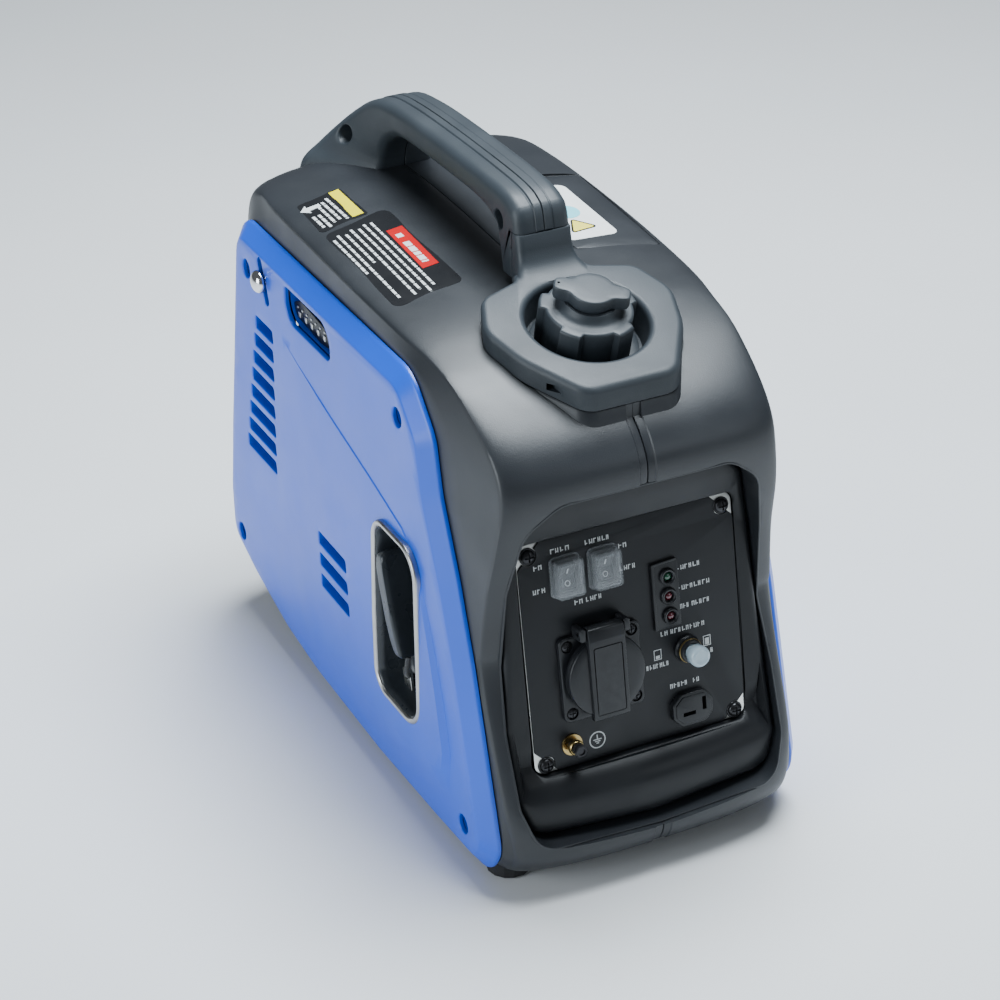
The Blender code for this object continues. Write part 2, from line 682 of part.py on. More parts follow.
def fuel_cap():
    """A screw cap with six finger tabs, hollow underneath, and its vent lever on top."""
    steps = 48
    outline = []
    for i in range(steps):
        radius = CAP_TAB_RADIUS if i % 8 in (0, 1, 2) else CAP_RADIUS
        angle = 2 * math.pi * i / steps
        outline.append((radius * math.cos(angle), radius * math.sin(angle)))
    inner = circle(22.8, steps)
    layers = [
        (outline, -19.0), (outline, 8.6), (inset(outline, 1.2), 9.8), (circle(23.5, steps), 10.6),
        (circle(22.0, steps), 14.0), (circle(20.5, steps), 14.8),
    ]
    cap = place("fuel_cap", stack(layers, CAP), "switch_black",
                at=CAP @ Vector((0, 0, 10)), turn=Matrix.Rotation(CAP_TILT, 4, "X"))
    cut(cap, stack([(inner, -30), (inner, -1)], CAP))
    place("fuel_cap_gasket", tube(22.2, 15.6, -4.2, -1.4, 24, CAP), "rubber",
          at=CAP @ Vector((0, 0, -3)), turn=Matrix.Rotation(CAP_TILT, 4, "X"))
    lever_turn = CAP @ Matrix.Rotation(math.radians(-27), 4, "Z")
    outline = []
    for i in range(40):
        angle = 2 * math.pi * i / 40
        reach = 14.0 + 10.5 * max(0.0, math.cos(2 * angle)) ** 6
        outline.append((reach * math.cos(angle), reach * math.sin(angle)))
    layers = [(inset(outline, 0.4), 15.1), (outline, 16.5), (outline, 23.0), (inset(outline, 1.2), 24.2)]
    place("vent_lever", stack(layers, lever_turn), "collar_grey",
          at=CAP @ Vector((0, 0, 20)), turn=Matrix.Rotation(CAP_TILT, 4, "X"))


def fuel_tank():
    """A blow-moulded tank under the roof, with its filler neck up in the collar's well."""
    def body(shrink, low, high):
        outline = rounded_box(-86 + shrink, 36 - shrink, -128 + shrink, 62 - shrink, 12 - shrink)
        return prism(outline, low, high)
    tank = place("fuel_tank", body(0.0, 252, 297), "tank_white")
    fuse(tank, turned([(19.5, -62), (19.5, -5.0)], 24, CAP))
    cut(tank, body(3.0, 255, 294))
    cut(tank, turned([(15.5, -58), (15.5, 5)], 20, CAP))


# Front

def front_frame():
    """The dark surround of the control panel, level with it above and swelling out below it."""
    profile = [
        (-158, 266), (-178, 266), (-176.5, 245), (-171, 222), (-183, 150), (-193, 92), (-196, 79),
        (-204, 77), (-213, 70), (-217, 58), (-216.5, 46), (-211, 36), (-180, 32),
    ]
    rings = []
    for x in (-96, -70, -35, 0, 35, 70, 96):
        bow = 10 * (abs(x) / 96) ** 2
        ring = []
        for y, z in profile:
            share = min(1.0, max(0.0, (95 - z) / 25)) if y < -190 else 0.0
            ring.append((x, y + bow * share, z))
        rings.append(ring)
    frame = place("front_frame", loft(rings), "shell_black")
    limit = prism(inset(rounded(FRONT_OPENING, 3), 1.6), 100, 260, FROM_FRONT)
    boolean(frame, place("front_frame_limit", limit, "steel", hidden=True), "INTERSECT")
    x = PANEL_HALF_WIDTH + 0.6
    hole = rounded_box(-x, x, -PANEL_BELOW - 0.6, PANEL_ABOVE + 0.6, 7)
    cut(frame, prism(hole, -60, 60, PANEL))


def panel_outline():
    return rounded_box(-PANEL_HALF_WIDTH, PANEL_HALF_WIDTH, -PANEL_BELOW, PANEL_ABOVE, 6.5)


def overlay_outline():
    """The black face plate: its corners are cut off so that the metal plate shows round the screws."""
    x = PANEL_HALF_WIDTH - 0.8
    low = -PANEL_BELOW + 0.8
    high = PANEL_ABOVE - 0.8
    nick = 15.5
    return [
        (-x + nick, low), (x - nick, low), (x, low + nick), (x, high - nick), (x - nick, high),
        (-x + nick, high), (-x, high - nick), (-x, low + nick),
    ]


SWITCHES = {"econ": (-43.5, -18.0), "engine": (-17.5, -18.5)}
LAMPS = {
    "output_lamp": (25, -36, "green_lens"),
    "overload_lamp": (25, -49, "red_lens"),
    "oil_lamp": (25.5, -62.5, "red_lens"),
}
SWITCH_BODY = (6.6, 10.4)
LED_CENTRE = (24.0, -48.0)
LED_BODY = (7.0, 20.0)
SOCKET = (-25.5, -86.0)
BREAKER = (36.0, -88.0)
OUTLET = (35.5, -128.0)
OUTLET_BODY = (11.0, 8.0)
STUD = (-49.0, -130.0)


def around(centre, half_x, half_y, grow=0.0):
    """A rectangle about a point, `grow` larger on every side."""
    x, y = centre
    return rectangle(x - half_x - grow, x + half_x + grow, y - half_y - grow, y + half_y + grow)


def panel_holes(clearance):
    """The openings that go through both plates, as outlines on the panel."""
    holes = [around(centre, *SWITCH_BODY, clearance) for centre in SWITCHES.values()]
    holes.append(around(LED_CENTRE, *LED_BODY, clearance))
    holes.append(circle(20.5 + clearance, 24, SOCKET))
    holes.append(circle(6.0 + clearance, 16, BREAKER))
    holes.append(around(OUTLET, *OUTLET_BODY, clearance))
    holes.append(circle(3.2 + clearance, 12, STUD))
    return holes


def screw_spots():
    return [(side * PANEL_SCREW_X, -v) for v in (0.0, PANEL_SCREW_V) for side in (-1, 1)]


def panel_plates():
    back = place("panel_backplate", prism(panel_outline(), -1.5, -0.3, PANEL), "zinc")
    front = place("control_panel", prism(overlay_outline(), 0.0, 0.9, PANEL), "panel_black")
    for hole in panel_holes(GAP):
        cut(back, prism(hole, -5, 5, PANEL))
        cut(front, prism(hole, -5, 5, PANEL))
    for spot in screw_spots():
        cut(back, turned([(2.4, -5), (2.4, 5)], 12, PANEL, spot))
        cut(front, turned([(7.2, -5), (7.2, 5)], 16, PANEL, spot))


def panel_screws():
    for number, spot in enumerate(screw_spots(), 1):
        profile = [(1.9, -12), (1.9, 0.1), (6.2, 0.1), (6.2, 1.4), (5.0, 2.9), (2.6, 3.9)]
        screw = place(f"panel_screw_{number}", turned(profile, 10, PANEL, spot), "black_steel",
                      at=PANEL @ Vector((*spot, 0)))
        for x_half, y_half in ((3.4, 0.7), (0.7, 3.4)):
            x, y = spot
            cut(screw, prism(rectangle(x - x_half, x + x_half, y - y_half, y + y_half), 2.3, 6, PANEL))


CROSSWISE = PANEL @ Matrix(((0, 0, 1, 0), (1, 0, 0, 0), (0, 1, 0, 0), (0, 0, 0, 1)))
PANEL_TURN = PANEL.to_3x3().to_4x4()


def switches():
    for name, (x, y) in SWITCHES.items():
        body = prism(around((x, y), *SWITCH_BODY), -16, 2.0, PANEL)
        body = place(f"{name}_switch_body", body, "switch_black")
        fuse(body, prism(rounded_box(x - 9.2, x + 9.2, y - 12.6, y + 12.6, 1.5), 1.2, 3.0, PANEL))
        cut(body, prism(around((x, y), 5.6, 9.4), -8, 6, PANEL))
        profile = [(-8.2, 4.6), (0, 2.4), (8.0, 7.2), (8.2, 1.0), (4, -3.5), (-4, -3.5), (-8.2, 1.0)]
        rocker = prism([(y + v, w) for v, w in profile], x - 5.2, x + 5.2, CROSSWISE)
        place(f"{name}_rocker", rocker, "switch_black", at=PANEL @ Vector((x, y, 0)), turn=PANEL_TURN)
        outer = rounded_box(x - 10.6, x + 10.6, y - 14.0, y + 14.0, 3)
        boot = stack([(outer, 1.2), (inset(outer, 0.8), 9.4), (inset(outer, 2.0), 10.6)], PANEL)
        boot = place(f"{name}_switch_boot", boot, "clear_boot")
        cut(boot, stack([(inset(outer, 1.1), 0.5), (inset(outer, 1.6), 9.0)], PANEL))


def lamps():
    block = place("led_block", prism(around(LED_CENTRE, *LED_BODY), -14, 2.0, PANEL), "switch_black")
    fuse(block, prism(rounded_box(15, 33, -70.5, -26, 1.5), 1.2, 2.6, PANEL))
    for name, (x, y, slot) in LAMPS.items():
        fuse(block, turned([(5.2, 1.5), (5.2, 4.4), (4.4, 5.2)], 14, PANEL, (x, y)))
        cut(block, turned([(3.0, -6.0), (3.0, 8)], 12, PANEL, (x, y)))
        place(name, turned([(2.7, -5.5), (2.7, 3.2), (2.1, 4.4), (1.0, 5.0)], 12, PANEL, (x, y)), slot)


def ac_socket():
    x, y = SOCKET
    base = place("ac_socket_base", turned([(20.5, -26), (20.5, 2.0)], 24, PANEL, SOCKET), "switch_black")
    fuse(base, prism(rounded_box(x - 28, x + 28, y - 28, y + 28, 4), 1.2, 4.2, PANEL))
    fuse(base, turned([(25.0, 4.0), (25.0, 8.6)], 28, PANEL, SOCKET))
    cut(base, turned([(19.0, -12), (19.0, 12)], 24, PANEL, SOCKET))
    for pin in (-9.5, 9.5):
        cut(base, turned([(2.6, -24), (2.6, 0)], 10, PANEL, (x + pin, y)))
    for side in (-1, 1):
        fuse(base, prism(around((x + side * 15.2, y + 31), 2.0, 4.0), 2, 13.5, PANEL))
        for up in (-1, 1):
            cut(base, turned([(3.6, 2.6), (3.6, 6)], 12, PANEL, (x + side * 22, y + up * 21.5)))
    hinge = (y + 31.0, 9.3)
    cut(base, turned([(1.6, x - 20), (1.6, x + 20)], 10, CROSSWISE, hinge))
    pin = turned([(1.45, x - 17.0), (1.45, x + 17.0)], 10, CROSSWISE, hinge)
    place("ac_socket_hinge_pin", pin, "steel", at=PANEL @ Vector((x, *hinge)))
    lid = turned([(26.5, 9.0), (26.5, 11.2), (25.4, 12.2)], 32, PANEL, SOCKET)
    lid = place("ac_socket_lid", lid, "switch_black", at=PANEL @ Vector((x, *hinge)), turn=PANEL_TURN)
    strap = [
        (y - 27, 11.4), (y - 27, 13.6), (y + 20, 14.2), (y + 28, 14.2), (y + 33, 13.4),
        (y + 35.4, 10.5), (y + 34.6, 7.0), (y + 28, 6.0), (y + 27.4, 9.4), (y + 24, 9.4),
    ]
    fuse(lid, prism(strap, x - 12.4, x + 12.4, CROSSWISE))
    cut(lid, turned([(1.65, x - 20), (1.65, x + 20)], 10, CROSSWISE, hinge))


def dc_parts():
    x, y = BREAKER
    profile = [
        (6.0, -20), (6.0, 1.2), (8.6, 1.2), (8.6, 3.4), (7.6, 4.4), (7.6, 8.2), (6.6, 9.0), (5.2, 9.0),
        (5.2, -4.0), (0.5, -4.0), (0.5, -20),
    ]
    place("breaker_collar", turned(profile, 18, PANEL, BREAKER, capped=False), "switch_black")
    profile = [(4.8, 1.2), (4.8, 12.3), (6.8, 12.6), (6.8, 18.6), (6.0, 19.8), (3.0, 20.4)]
    place("breaker_button", turned(profile, 18, PANEL, BREAKER), "white_button",
          at=PANEL @ Vector((x, y, 10)))
    u, v = OUTLET
    face = [
        (u - 14, v + 5, 3), (u - 8, v + 11, 3), (u + 9, v + 11, 5), (u + 14.5, v + 4, 6),
        (u + 14.5, v - 5, 6), (u + 9, v - 11, 5), (u - 8, v - 11, 3), (u - 14, v - 5, 3),
    ]
    outlet = place("dc_outlet", prism(rounded(face, 2), 1.2, 5.4, PANEL), "switch_black")
    fuse(outlet, prism(around(OUTLET, *OUTLET_BODY), -18, 2.5, PANEL))
    cut(outlet, prism(rectangle(u - 7.5, u + 1.5, v - 4.0, v - 1.4), -12, 8, PANEL))
    cut(outlet, prism(rectangle(u + 6.5, u + 9.3, v - 2.5, v + 6.5), -12, 8, PANEL))
    shank = turned([(3.0, -14), (3.0, 1.3), (3.0, 10.6)], 12, PANEL, STUD)
    stud = place("ground_stud", shank, "black_steel", at=PANEL @ Vector((*STUD, 0)))
    fuse(stud, prism(circle(4.4, 6, STUD), 10.4, 14.6, PANEL))
    profile = [(6.2, 1.2), (6.2, 3.6), (5.2, 4.0), (5.2, 8.4), (3.3, 8.4), (3.3, 1.2)]
    place("ground_nut", turned(profile, 12, PANEL, STUD, capped=False), "brass",
          at=PANEL @ Vector((*STUD, 0)))


# Base, rear and engine

def base_and_feet():
    tray = place("base_tray", prism(rounded_box(-88, 88, -176, 172, 12), 17.6, 20.4), "black_steel")
    fuse(tray, prism(rounded_box(-88, 88, -176, 172, 12), 19, 27))
    cut(tray, prism(rounded_box(-86, 86, -174, 170, 10), 20.4, 40))
    for name, (x, y) in FOOT_SPOTS.items():
        foot = turned([(12.5, 0), (14.5, 1.6), (15.5, 12.9)], 14, centre=(x, y))
        place(f"foot_{name}", foot, "rubber")


def rear_grille():
    """Exhaust grille, set in an opening of the sloping rear wall and level with it."""
    grille = prism(rounded_box(-71, 71, -94, 94, 13, 2), -4, 0, REAR)
    grille = place("rear_grille", grille, "shell_black")
    for row in range(8):
        z = -78 + 20.5 * row
        cut(grille, prism(rounded_box(-58, 58, z, z + 10, 3, 1), -10, 10, REAR))


def engine():
    block = place("crankcase", prism(rounded_box(-20, 74, 20.8, 166, 8), -44, 26, FROM_RIGHT), "cast_alloy")
    cut(block, turned([(9.3, -60), (9.3, 60)], 20, FROM_RIGHT, (CRANK_Y, CRANK_Z)))
    cylinder = place("cylinder", prism(rounded_box(-28, 12, 5, 46, 5), 166.3, 240), "cast_alloy")
    for fin in range(6):
        z = 176 + 10 * fin
        fuse(cylinder, prism(rounded_box(-38, 22, -5, 56, 6, 1), z, z + 2.4))
    cut(cylinder, turned([(5.2, -10), (5.2, 30)], 10, FROM_RIGHT, (CRANK_Y, PLUG_Z)))
    cut(cylinder, turned([(10, 13.5), (10, 40)], 12, FROM_RIGHT, (CRANK_Y, PLUG_Z)))
    plug = [(4.8, 4), (4.8, 14), (7.5, 14), (7.5, 20), (4.4, 22), (4.4, 34), (9, 35), (9, 52), (6, 54)]
    place("spark_plug", turned(plug, 12, FROM_RIGHT, (CRANK_Y, PLUG_Z)), "ceramic")
    shaft = [(9.0, -64), (9.0, 30), (38, 31), (38, 58), (9.0, 59), (9.0, 66)]
    place("crankshaft", turned(shaft, 20, FROM_RIGHT, (CRANK_Y, CRANK_Z)), "steel",
          at=(0, CRANK_Y, CRANK_Z))
    place("stator", tube(56, 40, 30.5, 58.5, 20, FROM_RIGHT, (CRANK_Y, CRANK_Z)), "copper")
    hub = [(50, 45.5), (50, 50), (26, 52), (26, 58), (10, 61)]
    fan = place("flywheel_fan", turned(hub, 24, FROM_LEFT, (CRANK_Y, CRANK_Z)), "cast_alloy",
                at=(-52, CRANK_Y, CRANK_Z))
    for blade in range(8):
        angle = 2 * math.pi * blade / 8
        spin = Matrix.Translation((0, CRANK_Y, CRANK_Z)) @ Matrix.Rotation(angle, 4, "X") @ FROM_LEFT
        fuse(fan, prism(rectangle(28, 49, -1.2, 1.2), 49, 60, spin))
    cut(fan, turned([(9.8, 30), (9.8, 70)], 12, FROM_LEFT, (CRANK_Y, CRANK_Z)))
    muffler = place("muffler", prism(rounded_box(84, 170, 70, 190, 14), -60, 60, FROM_RIGHT), "steel")
    fuse(muffler, turned([(9, 160), (9, 196)], 12, Matrix.Translation((-30, 0, 130)) @ FROM_REAR))
    cut(muffler, prism(rounded_box(86, 168, 72, 188, 12), -58, 58, FROM_RIGHT))
    cut(muffler, turned([(7, 150), (7, 210)], 12, Matrix.Translation((-30, 0, 130)) @ FROM_REAR))
    place("air_cleaner", prism(rounded_box(-122, -80, 170, 245, 8), 5, 80, FROM_RIGHT), "switch_black")
    carb = place("carburetor", prism(rounded_box(-79, -40, 180, 225, 6), 10, 42, FROM_RIGHT), "cast_alloy")
    fuse(carb, prism(rounded_box(-70, -48, 168, 182, 4), 15, 37, FROM_RIGHT))
    route = [(-14, -50, 251.5), (-14, -50, 236), (-12, -53, 216), (-3, -57, 206.5), (9.5, -58, 205)]
    hose = [Vector(point) for point in smooth_path(route, 3)]
    place("fuel_hose", loft(along(hose, 3.0, 6)), "rubber")
    place("inverter_module", prism(rounded_box(-150, -126, 40, 160, 4), -80, 80, FROM_RIGHT), "cast_alloy")


def main():
    clear_scene()
    shells()
    plug_access_cover()
    side_covers()
    choke_knob()
    starter_bezel()
    starter_grip()
    starter_rope()
    starter_works()
    handle_halves()
    fuel_collar()
    fuel_cap()
    fuel_tank()
    front_frame()
    panel_plates()
    panel_screws()
    switches()
    lamps()
    ac_socket()
    dc_parts()
    base_and_feet()
    rear_grille()
    engine()


main()
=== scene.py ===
"""Looks of the portable generator: fine surfaces and finishes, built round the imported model.

Lengths are in millimetres until a mesh is made. +Z is up, -Y is the control panel end and
-X is the recoil starter side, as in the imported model.
"""

import json
import math

import bmesh
import bpy
from mathutils import Matrix, Vector
from mathutils.bvhtree import BVHTree
from mathutils.geometry import delaunay_2d_cdt

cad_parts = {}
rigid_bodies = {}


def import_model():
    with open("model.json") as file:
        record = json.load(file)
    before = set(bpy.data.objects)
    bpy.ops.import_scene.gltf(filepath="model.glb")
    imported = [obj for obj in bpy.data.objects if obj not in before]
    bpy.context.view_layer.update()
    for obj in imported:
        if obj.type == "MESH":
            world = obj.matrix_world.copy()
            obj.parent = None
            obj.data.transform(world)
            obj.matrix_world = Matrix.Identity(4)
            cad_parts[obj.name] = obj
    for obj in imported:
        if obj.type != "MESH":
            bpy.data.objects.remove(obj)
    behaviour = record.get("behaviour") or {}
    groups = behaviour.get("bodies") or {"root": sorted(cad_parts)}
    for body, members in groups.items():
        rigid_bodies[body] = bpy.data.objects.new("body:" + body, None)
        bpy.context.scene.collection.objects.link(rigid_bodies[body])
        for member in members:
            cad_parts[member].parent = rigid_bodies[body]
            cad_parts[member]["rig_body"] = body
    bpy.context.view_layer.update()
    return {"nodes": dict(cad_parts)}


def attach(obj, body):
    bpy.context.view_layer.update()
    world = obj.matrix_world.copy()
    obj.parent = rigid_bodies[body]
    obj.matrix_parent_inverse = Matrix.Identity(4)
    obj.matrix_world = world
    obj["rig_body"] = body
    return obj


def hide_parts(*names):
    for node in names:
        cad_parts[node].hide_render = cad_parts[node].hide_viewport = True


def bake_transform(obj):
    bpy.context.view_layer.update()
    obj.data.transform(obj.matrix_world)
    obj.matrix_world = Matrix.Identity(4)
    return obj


MM = 0.001
SHELL_SIDE = 103.4
COVER_RIM = 104.0
CAP_TILT = math.radians(15.0)
CAP_CENTRE = (0.0, -121.7, 341.9)
WELL_RADIUS = 38.6
COLLAR_WALL = 15.6
PANEL_TOP_ROW = (0.0, -170.6, 219.3)
PANEL_LEAN = math.radians(9.8)
PANEL_HALF_WIDTH = 75.0
PANEL_ABOVE = 8.0
PANEL_BELOW = 145.0
HANDLE_HALF = 19.0
REAR_LEAN = math.radians(4.3)

FROM_LEFT = Matrix(((0, 0, -1, 0), (1, 0, 0, 0), (0, 1, 0, 0), (0, 0, 0, 1)))
FROM_RIGHT = Matrix(((0, 0, 1, 0), (1, 0, 0, 0), (0, 1, 0, 0), (0, 0, 0, 1)))
FROM_FRONT = Matrix(((1, 0, 0, 0), (0, 0, -1, 0), (0, 1, 0, 0), (0, 0, 0, 1)))
FROM_REAR = Matrix(((-1, 0, 0, 0), (0, 0, 1, 0), (0, 1, 0, 0), (0, 0, 0, 1)))
UPRIGHT = Matrix.Identity(4)
REAR = Matrix.Translation((0, 213.2, 162)) @ Matrix.Rotation(REAR_LEAN, 4, "X") @ FROM_REAR
CAP = Matrix.Translation(CAP_CENTRE) @ Matrix.Rotation(CAP_TILT, 4, "X")
# The same tilted plane, with depths that run straight down, as the collar's own walls do.
POD = Matrix.Translation(CAP_CENTRE) @ Matrix((
    (1, 0, 0, 0),
    (0, math.cos(CAP_TILT), 0, 0),
    (0, math.sin(CAP_TILT), 1, 0),
    (0, 0, 0, 1),
))
PANEL = Matrix.Translation(PANEL_TOP_ROW) @ Matrix((
    (1, 0, 0, 0),
    (0, math.sin(PANEL_LEAN), -math.cos(PANEL_LEAN), 0),
    (0, math.cos(PANEL_LEAN), math.sin(PANEL_LEAN), 0),
    (0, 0, 0, 1),
))
ACROSS = Matrix(((0, 0, 1, 0), (1, 0, 0, 0), (0, 1, 0, 0), (0, 0, 0, 1)))

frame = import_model()
NODES = frame["nodes"]


# Camera, light and floor

CAMERA_AT = Vector((-0.7369, -1.4970, 1.0996))
CAMERA_YAW = 0.457
CAMERA_PITCH = 0.515
CAMERA_ROLL = -0.015
SOFTBOX_COLOUR = (0.86, 0.94, 1.0)


def camera():
    """The photograph's view: yaw turns it from +Y towards +X, and pitch turns it down."""
    data = bpy.data.cameras.new("camera")
    data.sensor_width = 36.0
    data.lens = 103.36
    view = bpy.data.objects.new("camera", data)
    bpy.context.scene.collection.objects.link(view)
    forward = Vector((
        math.sin(CAMERA_YAW) * math.cos(CAMERA_PITCH),
        math.cos(CAMERA_YAW) * math.cos(CAMERA_PITCH),
        -math.sin(CAMERA_PITCH),
    ))
    level = Vector((math.cos(CAMERA_YAW), -math.sin(CAMERA_YAW), 0))
    upward = level.cross(forward)
    right = math.cos(CAMERA_ROLL) * level + math.sin(CAMERA_ROLL) * upward
    up = -math.sin(CAMERA_ROLL) * level + math.cos(CAMERA_ROLL) * upward
    turn = Matrix((right, up, -forward)).transposed().to_4x4()
    view.matrix_world = Matrix.Translation(CAMERA_AT) @ turn
    bpy.context.scene.camera = view


def area_light(name, at, towards, size, power):
    """A cool softbox that faces `towards`."""
    data = bpy.data.lights.new(name, "AREA")
    data.shape = "RECTANGLE"
    data.size, data.size_y = size
    data.energy = power
    data.color = SOFTBOX_COLOUR
    light = bpy.data.objects.new(name, data)
    bpy.context.scene.collection.objects.link(light)
    light.location = at
    light.rotation_euler = (Vector(towards) - Vector(at)).to_track_quat("-Z", "Y").to_euler()


def studio():
    """Three softboxes, a dim even background and a plain pale floor."""
    area_light("side_softbox", (-2.1, -0.4, 0.8), (0, 0, 0.15), (1.2, 1.3), 36)
    area_light("top_softbox", (0.35, 0.15, 1.9), (0, 0, 0.2), (1.2, 1.0), 98)
    area_light("front_fill", (1.2, -1.9, 1.1), (0, 0, 0.2), (1.0, 1.0), 6)
    world = bpy.data.worlds.new("studio")
    world.use_nodes = True
    world.node_tree.nodes["Background"].inputs["Color"].default_value = (0.86, 0.9, 0.95, 1)
    world.node_tree.nodes["Background"].inputs["Strength"].default_value = 0.13
    bpy.context.scene.world = world
    bm = bmesh.new()
    bmesh.ops.create_grid(bm, x_segments=2, y_segments=2, size=6.0)
    mesh = bpy.data.meshes.new("floor")
    bm.to_mesh(mesh)
    bm.free()
    floor = bpy.data.objects.new("floor", mesh)
    bpy.context.scene.collection.objects.link(floor)
    floor.data.materials.append(plain_floor())


# Materials

class Shader:
    """A small helper that adds nodes to one material and joins them to its Principled shader."""

    def __init__(self, name, colour, roughness, metallic=0.0):
        self.name = name
        self.material = bpy.data.materials.new(name)
        self.material.use_nodes = True
        self.tree = self.material.node_tree
        self.shader = self.tree.nodes["Principled BSDF"]
        self.colour = colour
        self.set("Base Color", (*colour, 1.0))
        self.set("Roughness", roughness)
        self.set("Metallic", metallic)
        self.roughness = roughness
        self.place = self.tree.nodes.new("ShaderNodeTexCoord").outputs["Object"]

    def set(self, socket, value):
        self.shader.inputs[socket].default_value = value
        return self

    def join(self, source, target):
        self.tree.links.new(source, target)

    def noise(self, scale, detail=2.0, stretch=None):
        texture = self.tree.nodes.new("ShaderNodeTexNoise")
        texture.inputs["Scale"].default_value = scale
        texture.inputs["Detail"].default_value = detail
        source = self.place
        if stretch:
            mapping = self.tree.nodes.new("ShaderNodeMapping")
            mapping.inputs["Scale"].default_value = stretch
            self.join(source, mapping.inputs["Vector"])
            source = mapping.outputs["Vector"]
        self.join(source, texture.inputs["Vector"])
        return texture.outputs["Fac"]

    def span(self, source, low, high, start=0.3, end=0.7):
        """Maps a texture's middle range to low..high."""
        mapped = self.tree.nodes.new("ShaderNodeMapRange")
        mapped.inputs["From Min"].default_value = start
        mapped.inputs["From Max"].default_value = end
        mapped.inputs["To Min"].default_value = low
        mapped.inputs["To Max"].default_value = high
        self.join(source, mapped.inputs["Value"])
        return mapped.outputs["Result"]

    def mottle(self, scale, amount, tint=(1, 1, 1)):
        """Lets the colour drift a little, as moulded plastic and handled metal do."""
        mix = self.tree.nodes.new("ShaderNodeMix")
        mix.data_type = "RGBA"
        lighter = [min(1.0, c * (1 + amount) + 0.004 * amount * t) for c, t in zip(self.colour, tint)]
        mix.inputs["A"].default_value = (*[c * (1 - amount) for c in self.colour], 1)
        mix.inputs["B"].default_value = (*lighter, 1)
        self.join(self.span(self.noise(scale, 3.0), 0, 1), mix.inputs["Factor"])
        self.join(mix.outputs["Result"], self.shader.inputs["Base Color"])
        return self

    def edge_wear_and_highlight(self, amount, tone):
        """Lightens the sharpest edges: a painted edge highlight, and rub wear where a part is rubbed in use.
        """
        # The sharp edges found here get a painted highlight as well as rub wear.
        edge = self.tree.nodes.new("ShaderNodeNewGeometry").outputs["Pointiness"]
        mix = self.tree.nodes.new("ShaderNodeMix")
        mix.data_type = "RGBA"
        socket = self.shader.inputs["Base Color"]
        if socket.is_linked:
            self.join(socket.links[0].from_socket, mix.inputs["A"])
        else:
            mix.inputs["A"].default_value = (*self.colour, 1)
        mix.inputs["B"].default_value = (*tone, 1)
        highlight_and_scuffs = self.tree.nodes.new("ShaderNodeMath")
        highlight_and_scuffs.operation = "MULTIPLY"
        self.join(self.span(edge, 0, amount, 0.53, 0.62), highlight_and_scuffs.inputs[0])
        self.join(self.span(self.noise(160, 4.0), 0, 1, 0.35, 0.65), highlight_and_scuffs.inputs[1])
        self.join(highlight_and_scuffs.outputs[0], mix.inputs["Factor"])
        self.join(mix.outputs["Result"], socket)
        return self

    def uneven(self, scale, amount):
        """Lets the gloss vary about its own value."""
        rough = self.span(self.noise(scale, 3.0), self.roughness - amount, self.roughness + amount)
        self.join(rough, self.shader.inputs["Roughness"])
        return self

    def grain(self, scale, height, strength=0.6, stretch=None, detail=2.0):
        bump = self.tree.nodes.new("ShaderNodeBump")
        bump.inputs["Strength"].default_value = strength
        bump.inputs["Distance"].default_value = height
        self.join(self.noise(scale, detail, stretch), bump.inputs["Height"])
        if self.shader.inputs["Normal"].is_linked:
            self.join(self.shader.inputs["Normal"].links[0].from_socket, bump.inputs["Normal"])
        self.join(bump.outputs["Normal"], self.shader.inputs["Normal"])
        return self


def plain_floor():
    return Shader("floor", (0.74, 0.75, 0.76), 0.75).mottle(3, 0.02).material


